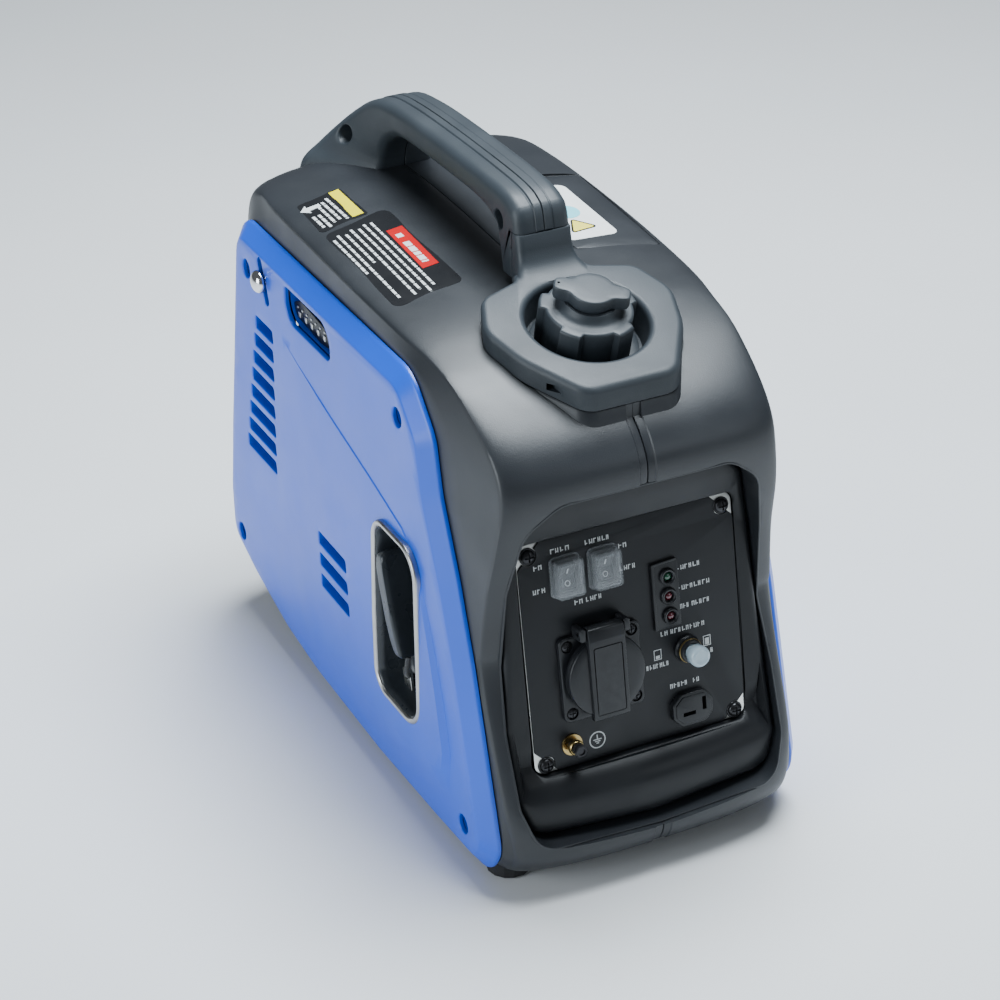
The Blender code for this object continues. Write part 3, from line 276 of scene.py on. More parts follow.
def finishes():
    """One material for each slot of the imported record."""
    # Several finishes lighten their sharp edges: painted edge highlights as well as rub wear.
    shaders = [
        Shader("cover_blue", (0.001, 0.085, 0.66), 0.36).set("Coat Weight", 0.15)
        .set("Coat Roughness", 0.2).mottle(9, 0.05).uneven(22, 0.04).grain(900, 0.00006, 0.35)
        .grain(90, 0.0002, 0.15),
        Shader("shell_black", (0.017, 0.0195, 0.0235), 0.40).mottle(14, 0.12).uneven(30, 0.04)
        .edge_wear_and_highlight(0.25, (0.08, 0.08, 0.082)).grain(1500, 0.00012, 0.55).grain(420, 0.0001, 0.3),
        Shader("collar_grey", (0.024, 0.031, 0.038), 0.50).mottle(16, 0.12).uneven(30, 0.05)
        .edge_wear_and_highlight(0.3, (0.1, 0.105, 0.11)).grain(1300, 0.00014, 0.6),
        Shader("panel_black", (0.0065, 0.0075, 0.0095), 0.42).mottle(20, 0.12).uneven(40, 0.05)
        .grain(2200, 0.00005, 0.4).set("Specular IOR Level", 0.32),
        Shader("switch_black", (0.009, 0.010, 0.012), 0.33).mottle(25, 0.15).uneven(60, 0.05)
        .edge_wear_and_highlight(0.3, (0.07, 0.07, 0.075)).grain(1800, 0.00005, 0.4).set("Specular IOR Level", 0.4),
        Shader("clear_boot", (0.62, 0.66, 0.69), 0.1).mottle(40, 0.03).uneven(80, 0.03)
        .set("Alpha", 0.17),
        Shader("white_button", (0.40, 0.50, 0.56), 0.16).mottle(60, 0.05).uneven(80, 0.04)
        .set("Subsurface Weight", 0.2).set("Subsurface Radius", (0.004, 0.004, 0.004))
        .set("Coat Weight", 0.5),
        Shader("green_lens", (0.0, 0.07, 0.03), 0.12).mottle(200, 0.2).set("Coat Weight", 1.0)
        .uneven(200, 0.03),
        Shader("red_lens", (0.09, 0.003, 0.012), 0.12).mottle(200, 0.2).set("Coat Weight", 1.0)
        .uneven(200, 0.03),
        Shader("zinc", (0.66, 0.66, 0.63), 0.34, 1.0).mottle(60, 0.1).uneven(90, 0.08)
        .grain(1200, 0.00004, 0.4, (1, 0.1, 0.1)),
        Shader("chrome", (0.78, 0.78, 0.79), 0.10, 1.0).mottle(80, 0.05).uneven(120, 0.03),
        Shader("black_steel", (0.035, 0.035, 0.038), 0.32, 0.8).mottle(60, 0.15).uneven(90, 0.06)
        .edge_wear_and_highlight(0.4, (0.25, 0.25, 0.25)).grain(1500, 0.00004, 0.3),
        Shader("brass", (0.42, 0.31, 0.13), 0.28, 1.0).mottle(120, 0.15).uneven(150, 0.06)
        .grain(1500, 0.00003, 0.3),
        Shader("rubber", (0.012, 0.012, 0.013), 0.75).mottle(30, 0.2).uneven(60, 0.08)
        .grain(1200, 0.0001, 0.6),
        Shader("starter_gloss", (0.022, 0.027, 0.033), 0.3).mottle(30, 0.15).uneven(60, 0.05)
        .grain(1400, 0.00005, 0.4),
        Shader("rope", (0.018, 0.018, 0.019), 0.85).mottle(300, 0.3).uneven(200, 0.05)
        .grain(2500, 0.0003, 0.8).set("Sheen Weight", 0.3),
        Shader("cast_alloy", (0.42, 0.43, 0.44), 0.55, 0.9).mottle(40, 0.12).uneven(60, 0.08)
        .grain(900, 0.0002, 0.7),
        Shader("steel", (0.48, 0.47, 0.45), 0.34, 1.0).mottle(60, 0.1).uneven(80, 0.08)
        .grain(1200, 0.00004, 0.4, (0.1, 1, 1)),
        Shader("copper", (0.5, 0.2, 0.09), 0.4, 1.0).mottle(60, 0.2).uneven(80, 0.08)
        .grain(800, 0.0004, 0.7, (0.15, 1, 1)),
        Shader("ceramic", (0.78, 0.78, 0.76), 0.2).mottle(60, 0.04).uneven(60, 0.03),
        Shader("tank_white", (0.6, 0.59, 0.54), 0.45).mottle(12, 0.06).uneven(30, 0.05)
        .set("Subsurface Weight", 0.1).grain(500, 0.0001, 0.4),
    ]
    return {shader.name: shader.material for shader in shaders}


def printed(name, colour, roughness=0.4):
    """A dull printed ink."""
    ink = Shader(name, colour, roughness).mottle(60, 0.04).uneven(90, 0.05)
    return ink.set("Specular IOR Level", 0.15).material


# Outlines

def circle(radius, count=48, centre=(0, 0), start=0.0):
    turn = 2 * math.pi / count
    return [
        (centre[0] + radius * math.cos(start + turn * i), centre[1] + radius * math.sin(start + turn * i))
        for i in range(count)
    ]


def rectangle(x0, x1, y0, y1):
    return [(x0, y0), (x1, y0), (x1, y1), (x0, y1)]


def around(centre, half_x, half_y, grow=0.0):
    x, y = centre
    return rectangle(x - half_x - grow, x + half_x + grow, y - half_y - grow, y + half_y + grow)


def rounded(corners, steps=8):
    """Rounds a polygon given as (x, y, radius) corners, with an arc of `steps` spans at each."""
    points = []
    count = len(corners)
    for i in range(count):
        x, y, radius = corners[i]
        here = Vector((x, y))
        before = (Vector(corners[i - 1][:2]) - here).normalized()
        after = (Vector(corners[(i + 1) % count][:2]) - here).normalized()
        half = math.acos(max(-1.0, min(1.0, before.dot(after)))) / 2
        if radius <= 0 or half > math.radians(88):
            points.append((x, y))
            continue
        centre = here + (before + after).normalized() * (radius / math.sin(half))
        arm = here + before * (radius / math.tan(half)) - centre
        sweep = math.pi - 2 * half
        if before.cross(after) > 0:
            sweep = -sweep
        for k in range(steps + 1):
            reach = Matrix.Rotation(sweep * k / steps, 2) @ arm
            points.append((centre.x + reach.x, centre.y + reach.y))
    return points


def rounded_box(x0, x1, y0, y1, radius, steps=8):
    return rounded([(x, y, radius) for x, y in rectangle(x0, x1, y0, y1)], steps)


def inset(outline, distance):
    """Moves a closed outline inwards along its own normals. A negative distance moves it out."""
    count = len(outline)
    area = sum(
        outline[i][0] * outline[(i + 1) % count][1] - outline[(i + 1) % count][0] * outline[i][1]
        for i in range(count)
    )
    side = 1 if area > 0 else -1
    result = []
    for i in range(count):
        here = Vector(outline[i])
        before = (here - Vector(outline[i - 1])).normalized()
        after = (Vector(outline[(i + 1) % count]) - here).normalized()
        normal_before = Vector((-before.y, before.x)) * side
        normal_after = Vector((-after.y, after.x)) * side
        middle = (normal_before + normal_after).normalized()
        result.append(tuple(here + middle * distance / max(0.5, middle.dot(normal_before))))
    return result


def catmull_rom(a, b, c, d, t):
    linear = (c - a) * t
    square = (2 * a - 5 * b + 4 * c - d) * t * t
    cubic = (3 * b - a - 3 * c + d) * t ** 3
    return 0.5 * (2 * b + linear + square + cubic)


def smooth_path(points, per_span):
    """A Catmull-Rom curve through the points, which may have any number of coordinates."""
    path = []
    last = len(points) - 1
    for i in range(last):
        ends = points[max(i - 1, 0)], points[i], points[i + 1], points[min(i + 2, last)]
        for step in range(per_span):
            path.append(tuple(catmull_rom(*values, step / per_span) for values in zip(*ends)))
    path.append(tuple(points[-1]))
    return path


def smooth_loop(points, per_span):
    path = smooth_path([points[-1], *points, points[0], points[1]], per_span)
    return path[per_span:per_span * (len(points) + 1)]


# Meshes

def loft(rings, capped=True):
    """Skins a run of closed rings of equal counts. Without caps, the last ring joins the first one."""
    bm = bmesh.new()
    rows = [[bm.verts.new(point) for point in ring] for ring in rings]
    following = rows[1:] if capped else rows[1:] + rows[:1]
    for low, high in zip(rows, following):
        for i in range(len(low)):
            j = (i + 1) % len(low)
            bm.faces.new((low[i], low[j], high[j], high[i]))
    if capped:
        bm.faces.new(rows[0][::-1])
        bm.faces.new(rows[-1])
    bmesh.ops.recalc_face_normals(bm, faces=bm.faces)
    return bm


def moved(points, matrix, depth):
    return [matrix @ Vector((u, v, depth)) for u, v in points]


def stack(layers, matrix=UPRIGHT, capped=True):
    """Lofts (outline, depth) layers along the matrix's own Z."""
    return loft([moved(outline, matrix, depth) for outline, depth in layers], capped)


def prism(outline, low, high, matrix=UPRIGHT):
    return stack([(outline, low), (outline, high)], matrix)


def soft_prism(outline, low, high, matrix=UPRIGHT, edge=0.6, both=False):
    """A prism with its upper edge rounded, and its lower one too if `both`."""
    arc = [(edge * (1 - math.cos(a)), edge * (1 - math.sin(a))) for a in (0.0, 0.52, 1.05, 1.571)]
    layers = [(inset(outline, inward), high - drop) for inward, drop in arc]
    if both:
        layers = [(inset(outline, inward), low + drop) for inward, drop in reversed(arc)] + layers
    else:
        layers = [(outline, low)] + layers
    return stack(layers, matrix)


def round_over(radius, top, angles):
    """A rounded upper edge as (distance inwards, height) pairs, up to the height `top`."""
    return [(radius * (1 - math.cos(a)), top - radius + radius * math.sin(a)) for a in angles]


def turned(profile, count=48, matrix=UPRIGHT, centre=(0, 0), capped=True):
    """Turns (radius, height) points about the matrix's own Z."""
    return stack([(circle(radius, count, centre), height) for radius, height in profile], matrix, capped)


def along(points, radius, count=12):
    """Rings of a round tube that follows the points."""
    rings = []
    side = Vector((0, 0, 1))
    for i, point in enumerate(points):
        ahead = (points[min(i + 1, len(points) - 1)] - points[max(i - 1, 0)]).normalized()
        side = (side - ahead * side.dot(ahead)).normalized()
        up = ahead.cross(side)
        rings.append([point + side * radius * u + up * radius * v for u, v in circle(1.0, count)])
    return rings


def temporary(bm):
    mesh = bpy.data.meshes.new("temporary")
    bm.to_mesh(mesh)
    bm.free()
    obj = bpy.data.objects.new("temporary", mesh)
    bpy.context.scene.collection.objects.link(obj)
    return obj


def combined(bm, tools, operation="DIFFERENCE"):
    """The mesh after each tool is cut from it, fused to it or kept in common with it."""
    target = temporary(bm)
    helpers = [temporary(tool) for tool in tools]
    for helper in helpers:
        modifier = target.modifiers.new("Boolean", "BOOLEAN")
        modifier.operation = operation
        modifier.object = helper
    evaluated = target.evaluated_get(bpy.context.evaluated_depsgraph_get())
    result = bmesh.new()
    result.from_mesh(evaluated.to_mesh())
    evaluated.to_mesh_clear()
    for helper in [target, *helpers]:
        mesh = helper.data
        bpy.data.objects.remove(helper)
        bpy.data.meshes.remove(mesh)
    return result


def joined(parts):
    """Several meshes as one, without fusing them."""
    whole = bmesh.new()
    for part in parts:
        mesh = bpy.data.meshes.new("part")
        part.to_mesh(mesh)
        part.free()
        whole.from_mesh(mesh)
        bpy.data.meshes.remove(mesh)
    return whole


def piece(name, bm, slot, body="root", replaces=(), sharp=32, material=None):
    """Makes the mesh a piece that rides on a body and takes its finish from a slot."""
    bmesh.ops.remove_doubles(bm, verts=bm.verts, dist=1e-4)
    bmesh.ops.scale(bm, vec=(MM, MM, MM), verts=bm.verts)
    mesh = bpy.data.meshes.new(name)
    bm.to_mesh(mesh)
    bm.free()
    mesh.shade_smooth()
    mesh.set_sharp_from_angle(angle=math.radians(sharp))
    mesh.materials.append(material or FINISHES[slot])
    obj = bpy.data.objects.new(name, mesh)
    bpy.context.scene.collection.objects.link(obj)
    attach(obj, body)
    if replaces:
        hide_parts(*replaces)
    return obj


FINISHES = finishes()


# Surfaces to lay things on

SURFACES = {}


def depth_at(tree, matrix, u, v):
    """How high the surface stands over the matrix's own plane at (u, v), or None off its edge."""
    hit = tree.ray_cast(matrix @ Vector((u, v, 420.0)), matrix.to_3x3() @ Vector((0, 0, -1)))[0]
    return None if hit is None else (matrix.inverted() @ hit).z


def depths_on(tree, matrix, outline):
    """The surface's height at each point of an outline. A point off its edge takes its neighbour's."""
    found = [depth_at(tree, matrix, u, v) for u, v in outline]
    known = next(depth for depth in found if depth is not None)
    filled = []
    for depth in found:
        known = known if depth is None else depth
        filled.append(known)
    return filled


def mouth(outline, tree, lip, low, matrix):
    """A cutter that follows a surface and widens as it meets it, which rounds the edge of the opening."""
    rings = [moved(outline, matrix, low)]
    for angle in (0.0, 0.45, 0.9, 1.25, 1.571):
        widened = inset(outline, -lip * (1 - math.cos(angle)) - 0.001)
        heights = depths_on(tree, matrix, widened)
        drop = lip * (1 - math.sin(angle)) - 0.02
        rings.append([matrix @ Vector((u, v, h - drop)) for (u, v), h in zip(widened, heights)])
    outer = inset(outline, -lip * 1.1)
    heights = depths_on(tree, matrix, outer)
    rings.append([matrix @ Vector((u, v, h + 12.0)) for (u, v), h in zip(outer, heights)])
    return loft(rings)


def sleeve(outline, thickness, low, high, matrix):
    """A wall round an opening."""
    outer = inset(outline, -thickness)
    return stack([(outline, low), (outline, high), (outer, high), (outer, low)], matrix, capped=False)


# Body shells. Each station runs from the middle seam over the crease to the side wall:
# middle (y, z), crease (x, y, z), side (y, z). They go once round the side view.

WALL = 3.0
BODY_STATIONS = [
    ((120, 14), (101, 120, 14), (120, 17.5)),
    ((190, 14), (100, 178, 14.5), (176, 26)),
    ((215, 26), (98, 203, 28), (203, 44)),
    ((224.5, 70), (98, 214, 70), (215, 72)),
    ((223, 125), (98, 213, 125), (212, 122)),
    ((214, 215), (98, 201, 215), (196, 210)),
    ((205, 295), (98.5, 184, 295), (174, 290)),
    ((199, 325), (99, 172, 326), (163, 313)),
    ((184, 340), (99.5, 152, 337), (142, 321)),
    ((130, 346), (102, 122, 338), (115, 321.5)),
    ((70, 346.5), (103.2, 75, 337.5), (75, 321.5)),
    ((-2, 343.5), (103.2, -2, 335), (-2, 321.5)),
    ((-75, 339), (101, -71, 331.5), (-70, 321.5)),
    ((-112, 332), (97.5, -106, 328), (-100, 318)),
    ((-142, 322), (95.6, -135, 321), (-114, 308)),
    ((-174, 306), (94, -166, 303), (-123, 297)),
    ((-192, 291), (93.5, -184, 284), (-128, 283)),
    ((-199, 274), (94.2, -189, 262), (-136, 262)),
    ((-195, 245), (97, -186.5, 235), (-146, 240)),
    ((-188, 205), (99.5, -179, 203), (-157, 205)),
    ((-183, 165), (102, -175.5, 165), (-170, 165)),
    ((-184, 152), (102.3, -174.5, 152), (-173.5, 152)),
    ((-196, 118), (102.6, -185, 118), (-183, 118)),
    ((-216, 68), (102, -204, 68), (-198, 68)),
    ((-224.8, 44), (99, -210, 42), (-205, 46)),
    ((-224, 27), (97, -208, 26), (-203, 28)),
    ((-214, 15.5), (97, -197, 15.5), (-190, 18)),
    ((-190, 14), (99, -176, 14), (-172, 17.5)),
    ((-60, 14), (101, -60, 14), (-60, 17.5)),
]
ROOF_SHARES = (0.14, 0.28, 0.42, 0.55, 0.67, 0.77, 0.85, 0.905, 0.945, 0.97, 0.986, 0.995)
FLANK_STEPS = (0.02, 0.08, 0.25, 0.5, 0.75, 1.0)
SHELL_SPANS = 5
SEAM_HALF = 0.16
STRIP_HALF = 5.0
STRIP_DEPTH = 0.8

FRONT_OPENING = [
    (90, 152, 0), (87.5, 205, 30), (80, 247, 26), (58, 264.5, 20), (-58, 264.5, 20), (-80, 247, 26),
    (-87.5, 205, 30), (-90, 152, 0), (-93.5, 110, 30), (-93, 66, 20), (-84, 39, 16), (0, 35, 0),
    (84, 39, 16), (93, 66, 20), (93.5, 110, 30),
]
WINDOW_MAIN = rounded_box(-124, 100, 48, 216, 8)
WINDOW_REAR = rounded_box(88, 158, 222, 276, 6)
REAR_OPENING = rounded_box(-72, 72, -95, 95, 14)
ACCESS_OPENING = [(41.5, -29), (98, -38), (101, 78), (41.5, 86)]
POD_OUTLINE = [
    (24, 54, 0), (26, 48.5, 6), (53.5, 39.5, 15), (65, 11, 24), (56, -20, 60), (31, -60, 16),
    (-31, -60, 16), (-56, -20, 60), (-65, 11, 24), (-53.5, 39.5, 15), (-26, 48.5, 6), (-24, 54, 0),
]


def pod_outline(steps=10):
    return rounded(POD_OUTLINE, steps)


def body_point(station, share):
    """Share 0 is the middle seam, 1 the crease and 2 the side wall."""
    middle, crease, wall = station
    if share <= 1:
        bulge = math.sqrt(max(0.0, 1 - share ** 2.6))
        y = crease[1] + (middle[0] - crease[1]) * bulge
        z = crease[2] + (middle[1] - crease[2]) * bulge
        return (max(crease[0] * share, SEAM_HALF), y, z)
    ends = (*crease, SHELL_SIDE, *wall)
    return tuple(ends[i] + (ends[i + 3] - ends[i]) * (share - 1) for i in range(3))


def body_stations():
    flat = [(*middle, *crease, *wall) for middle, crease, wall in BODY_STATIONS]
    return [(p[0:2], p[2:5], p[5:7]) for p in smooth_loop(flat, SHELL_SPANS)]


def outer_ring(stations, share, side):
    return [(side * x, y, z) for x, y, z in (body_point(station, share) for station in stations)]


def strip_sink(middle):
    """The seam runs in a shallow strip down the hood and across the bumper."""
    return STRIP_DEPTH * min(1.0, max(0.0, (-150 - middle[0]) / 12))


def seam_ring(stations, x, side, sink):
    """A ring at one distance from the middle, sunk by sink(station) along the body's own normal."""
    ring = [body_point(station, x / station[1][0]) for station in stations]
    flat = [(y, z) for _, y, z in ring]
    sunk = inset(flat, 1.0)
    result = []
    for station, outer, inner in zip(stations, flat, sunk):
        depth = sink(station[0])
        y = outer[0] + (inner[0] - outer[0]) * depth
        z = outer[1] + (inner[1] - outer[1]) * depth
        result.append((side * x, y, z))
    return result


def inner_ring(share, side):
    """The shell's inside, found on the few stations first so that tight bends don't fold."""
    points = [body_point(station, share) for station in BODY_STATIONS]
    flat = inset([(y, z) for _, y, z in points], WALL)
    ring = [(min(x, SHELL_SIDE - WALL), y, z) for (x, _, _), (y, z) in zip(points, flat)]
    return [(side * x, y, z) for x, y, z in smooth_loop(ring, SHELL_SPANS)]


def shell_blank(side):
    """Half of the body as one closed wall, with the seam's groove and strip along its middle."""
    stations = body_stations()
    rings = [outer_ring(stations, 1.0 + step, side) for step in reversed(FLANK_STEPS)]
    rings += [outer_ring(stations, share, side) for share in reversed(ROOF_SHARES)]
    rings.append(seam_ring(stations, STRIP_HALF + 0.8, side, lambda middle: 0.0))
    rings.append(seam_ring(stations, STRIP_HALF, side, strip_sink))
    rings.append(seam_ring(stations, 1.1, side, strip_sink))
    rings.append(seam_ring(stations, 0.5, side, lambda middle: strip_sink(middle) + 0.2))
    rings.append(seam_ring(stations, SEAM_HALF, side, lambda middle: strip_sink(middle) + 0.8))
    rings += [inner_ring(share, side) for share in (0.0, 0.6, 0.9, 1.25)]
    last = [(side * (SHELL_SIDE - WALL), y, z) for _, y, z in inner_ring(2.0, side)]
    return loft(rings + [last])


def pod_step(side):
    """The shell's raised base under the filler collar, with the seam's strip down its front."""
    outline = pod_outline()
    step = stack([
        (inset(outline, -2.0), -38.0), (inset(outline, -1.4), -26.0),
        (inset(outline, 0.2), -COLLAR_WALL - 1.2), (inset(outline, 0.9), -COLLAR_WALL - 0.4),
    ], POD)
    half = prism(rectangle(*sorted((side * SEAM_HALF, side * 130)), -260, 260), 200, 380)
    strip = prism(rectangle(*sorted((0.0, side * STRIP_HALF)), -70, -59.0), -60, 0, POD)
    return combined(combined(step, [half], "INTERSECT"), [strip])


def mirrored(bm):
    """The same mesh on the other side of the middle seam."""
    bmesh.ops.scale(bm, vec=(-1, 1, 1), verts=bm.verts)
    bmesh.ops.reverse_faces(bm, faces=bm.faces)
    return bm


def access_outline(grow):
    return inset(rounded([(*corner, 2) for corner in ACCESS_OPENING], 4), -grow)


def shell_half():
    """The left half with its openings, and the tree of its bare skin."""
    blank = shell_blank(-1)
    tree = BVHTree.FromBMesh(blank)
    shell = combined(blank, [pod_step(-1)], "UNION")
    return tree, combined(shell, [
        mouth(rounded(FRONT_OPENING, 8), tree, 1.2, 120, FROM_FRONT),
        turned([(WELL_RADIUS + 3.2, -60), (WELL_RADIUS + 3.2, 20)], 48, CAP),
        prism(inset(pod_outline(), -0.5), -COLLAR_WALL - 0.3, 40, POD),
        prism(WINDOW_MAIN, 90, 110, FROM_LEFT),
        prism(WINDOW_REAR, 90, 110, FROM_LEFT),
        mouth(REAR_OPENING, tree, 0.8, -60, REAR),
    ])


# The bead round the front opening, as (distance out from the edge, height over the shell).
ARCH_BEAD = [(0.0, -2.0), (0.0, 0.1), (0.35, 0.45), (0.8, 0.5), (1.25, 0.3), (1.5, -0.3), (1.5, -2.6)]


def arch_return(tree):
    """A fine bead on the front opening's edge, and the wall that runs back from it behind the frame."""
    rings = []
    for outward, proud in ARCH_BEAD:
        ring = inset(rounded(FRONT_OPENING, 8), -outward)
        heights = depths_on(tree, FROM_FRONT, [(-abs(x), z) for x, z in ring])
        rings.append([(x, -height - proud, z) for (x, z), height in zip(ring, heights)])
    for outward in (1.5, 0.0):
        ring = inset(rounded(FRONT_OPENING, 8), -outward)
        rings.append([(x, frame_front_y(x, z) + 12.0, z) for x, z in ring])
    return loft(rings, capped=False)


def shells():
    left_tree, left = shell_half()
    right_tree = BVHTree.FromBMesh(mirrored(shell_blank(-1)))
    right = mirrored(left.copy())
    right = combined(right, [mouth(access_outline(0.0), right_tree, 0.5, 300, UPRIGHT)])
    left = joined([left, arch_return(left_tree)])
    SURFACES["left_shell"] = left_tree
    SURFACES["right_shell"] = right_tree
    piece("left_shell_skin", left, "shell_black", replaces=["left_shell"])
    piece("right_shell_skin", right, "shell_black", replaces=["right_shell"])


def plug_access_cover():
    """A piece of the roof that lifts off over the spark plug."""
    tree = SURFACES["right_shell"]
    rings = []
    for grow, drop in ((-0.4, 3.0), (-0.4, 0.5), (-0.6, 0.15), (-1.0, 0.0)):
        ring = access_outline(grow)
        heights = depths_on(tree, UPRIGHT, ring)
        rings.append([Vector((x, y, h - drop)) for (x, y), h in zip(ring, heights)])
    edge = loft(rings)
    caps = [face for face in edge.faces if len(face.verts) > 4]
    bmesh.ops.delete(edge, geom=caps, context="FACES_ONLY")
    top = covering(access_outline(-1.0), tree, UPRIGHT, 0.0, 8.0)
    under = covering(access_outline(-0.4), tree, UPRIGHT, -3.0, 12.0)
    cover = joined([edge, top, under])
    bmesh.ops.remove_doubles(cover, verts=cover.verts, dist=0.002)
    bmesh.ops.recalc_face_normals(cover, faces=cover.faces)
    piece("plug_access_cover_skin", cover, "shell_black", "plug_cover", ["plug_access_cover"])


def inside(point, outline):
    """Whether a point lies in a closed outline."""
    u, v = point
    odd = False
    for i in range(len(outline)):
        a, b = outline[i - 1], outline[i]
        if (a[1] > v) != (b[1] > v) and u < a[0] + (v - a[1]) / (b[1] - a[1]) * (b[0] - a[0]):
            odd = not odd
    return odd


def filled(outline, spacing, lines=(), clear=None):
    """Triangles over an outline: a grid of points inside it, and edges along any extra lines."""
    points = [Vector(point) for point in outline]
    edges = [(i, (i + 1) % len(outline)) for i in range(len(outline))]
    for line in lines:
        first = len(points)
        points += [Vector(point) for point in line]
        edges += [(first + i, first + i + 1) for i in range(len(line) - 1)]
    near = inset(outline, spacing * 0.45)
    low_u, high_u = min(p[0] for p in outline), max(p[0] for p in outline)
    low_v, high_v = min(p[1] for p in outline), max(p[1] for p in outline)
    row = 0
    v = low_v + spacing / 2
    while v < high_v:
        u = low_u + spacing * (0.25 if row % 2 else 0.75)
        while u < high_u:
            if inside((u, v), near) and not (clear and clear((u, v))):
                points.append(Vector((u, v)))
            u += spacing
        v += spacing
        row += 1
    verts, _, faces, _, _, _ = delaunay_2d_cdt(points, edges, [list(range(len(outline)))], 1, 1e-5)
    return verts, faces


def covering(outline, tree, matrix, lift, spacing):
    """A sheet over an outline that follows the surface below it, `lift` above it."""
    verts, faces = filled(outline, spacing)
    heights = depths_on(tree, matrix, [tuple(vert) for vert in verts])
    bm = bmesh.new()
    points = [bm.verts.new(matrix @ Vector((v.x, v.y, h + lift))) for v, h in zip(verts, heights)]
    for face in faces:
        bm.faces.new([points[i] for i in face])
    return bm


def laid(outline, tree, matrix, lift, thick=0.2, spacing=4.0):
    """A thin closed label or printed mark, laid on a surface."""
    bm = covering(outline, tree, matrix, lift, spacing)
    top = list(bm.faces)
    grown = bmesh.ops.extrude_face_region(bm, geom=top, use_keep_orig=True)
    lower = [item for item in grown["geom"] if isinstance(item, bmesh.types.BMVert)]
    down = matrix.to_3x3() @ Vector((0, 0, -thick))
    bmesh.ops.translate(bm, vec=down, verts=lower)
    bmesh.ops.recalc_face_normals(bm, faces=bm.faces)
    return bm


# Side covers

COVER_CHAMFER = 12.0
COVER_RISE = 10.2
COVER_OUTLINE = [
    (174, 319.5, 26), (-95, 319.5, 34), (-125, 288, 30), (-133, 252, 60), (-154, 204, 120),
    (-172, 153, 200),
    (-199, 60, 60), (-206, 34, 22), (-192, 12, 22), (-130, 9, 60), (-45, 6.5, 200), (62, 10, 200),
    (114, 17, 120), (170, 33, 80), (215, 52, 26), (216, 96, 60), (206, 155, 200), (196, 205, 200),
]
# The raised plane on the face: its crease, its front edge, and the foot of the bevel below it.
PLANE_TOP = [(93, 263), (67, 255), (7, 239), (-46, 226), (-93, 213), (-102, 207)]
PLANE_FRONT = [(-112, 193), (-122, 172), (-133, 143), (-143, 112), (-151, 80), (-148, 65)]
PLANE_LOW = [(-130, 60), (-66, 52), (15, 45), (84, 43), (123, 41.5)]
BEVEL_FOOT = [
    (-104, 208), (-115, 194), (-125.5, 172), (-137, 143), (-147.5, 112), (-156, 78), (-152, 54),
    (-140, 46), (-110, 38), (-80, 35), (-33, 31.5), (51, 29.5), (100, 36), (124, 41),
]
PLANE_RISE = {"left_side_cover": 3.2, "right_side_cover": 1.1}
CREASE_STEP = 0.6
CREASE_WIDTH = 1.1
LOUVRES = [(138 + 3.9 * i, 108 + 0.9 * i, 259.5 - 14.6 * i) for i in range(8)]
SHORT_LOUVRES = [(41, -5, 142), (40, -6.5, 126), (39, -8, 110)]
LOUVRE_HEIGHT = 9.0
OBLONG_WINDOW = [(83, 304, 3), (11, 304, 15), (11, 280, 5), (83, 280, 15)]
COVER_SCREWS = [(150, 289), (-90, 288), (190, 65), (-171, 38)]
STARTER_OUTLINE = [
    (-53.5, 205.5, 18), (-49.5, 130, 200), (-49.5, 73, 18), (-118.5, 73, 22), (-119, 205.5, 21),
]
CHOKE_TOP = Vector((125.0, 303.0))
CHOKE_LOW = Vector((115.5, 280.0))
CHOKE_WAY = (CHOKE_TOP - CHOKE_LOW).normalized()
CHOKE_KNOB = CHOKE_LOW + CHOKE_WAY * 13.0


def slot_outline(start, end, half_width, count=12):
    way = (end - start).normalized()
    angle = math.atan2(way.y, way.x)
    points = []
    for centre, first in ((end, angle - math.pi / 2), (start, angle + math.pi / 2)):
        for k in range(count + 1):
            turn = first + math.pi * k / count
            points.append((centre.x + half_width * math.cos(turn), centre.y + half_width * math.sin(turn)))
    return points


def louvre(rear, front, top):
    """A slot seen from the side: level edges, with ends that lean forward as they go down."""
    lean = 1.2
    low = top - LOUVRE_HEIGHT
    corners = [(front + lean, top, 2), (rear, top, 1.5), (rear + 1.5 - lean, low, 2), (front, low, 1.5)]
    return rounded(corners, 4)


def starter_outline(steps=10):
    return rounded(STARTER_OUTLINE, steps)


def between(path, y):
    """The height of a line of (y, z) points at y."""
    ordered = sorted(path)
    for (y0, z0), (y1, z1) in zip(ordered, ordered[1:]):
        if y0 <= y <= y1:
            return z0 + (z1 - z0) * (y - y0) / (y1 - y0)
    return ordered[0][1] if y < ordered[0][0] else ordered[-1][1]


def plane_rise(y, z):
    """0 to 1: the raised plane grows out of the face below its crease, most of all low at the front."""
    top = between(PLANE_TOP, y)
    low = between(PLANE_LOW, y)
    down = min(1.0, max(0.0, (top - z) / (top - low)))
    ahead = min(1.0, max(0.0, (123 - y) / 250))
    return (1 - (1 - down) ** 2) * ahead ** 0.8


def divided(path, spacing):
    """The same path with more points on it."""
    points = [path[0]]
    for start, end in zip(path, path[1:]):
        count = max(1, round((Vector(end) - Vector(start)).length / spacing))
        points += [tuple(Vector(start).lerp(Vector(end), k / count)) for k in range(1, count + 1)]
    return points


def crease_fade(y):
    """The crease's step runs out towards the rear."""
    return min(1.0, max(0.12, (90 - y) / 60))


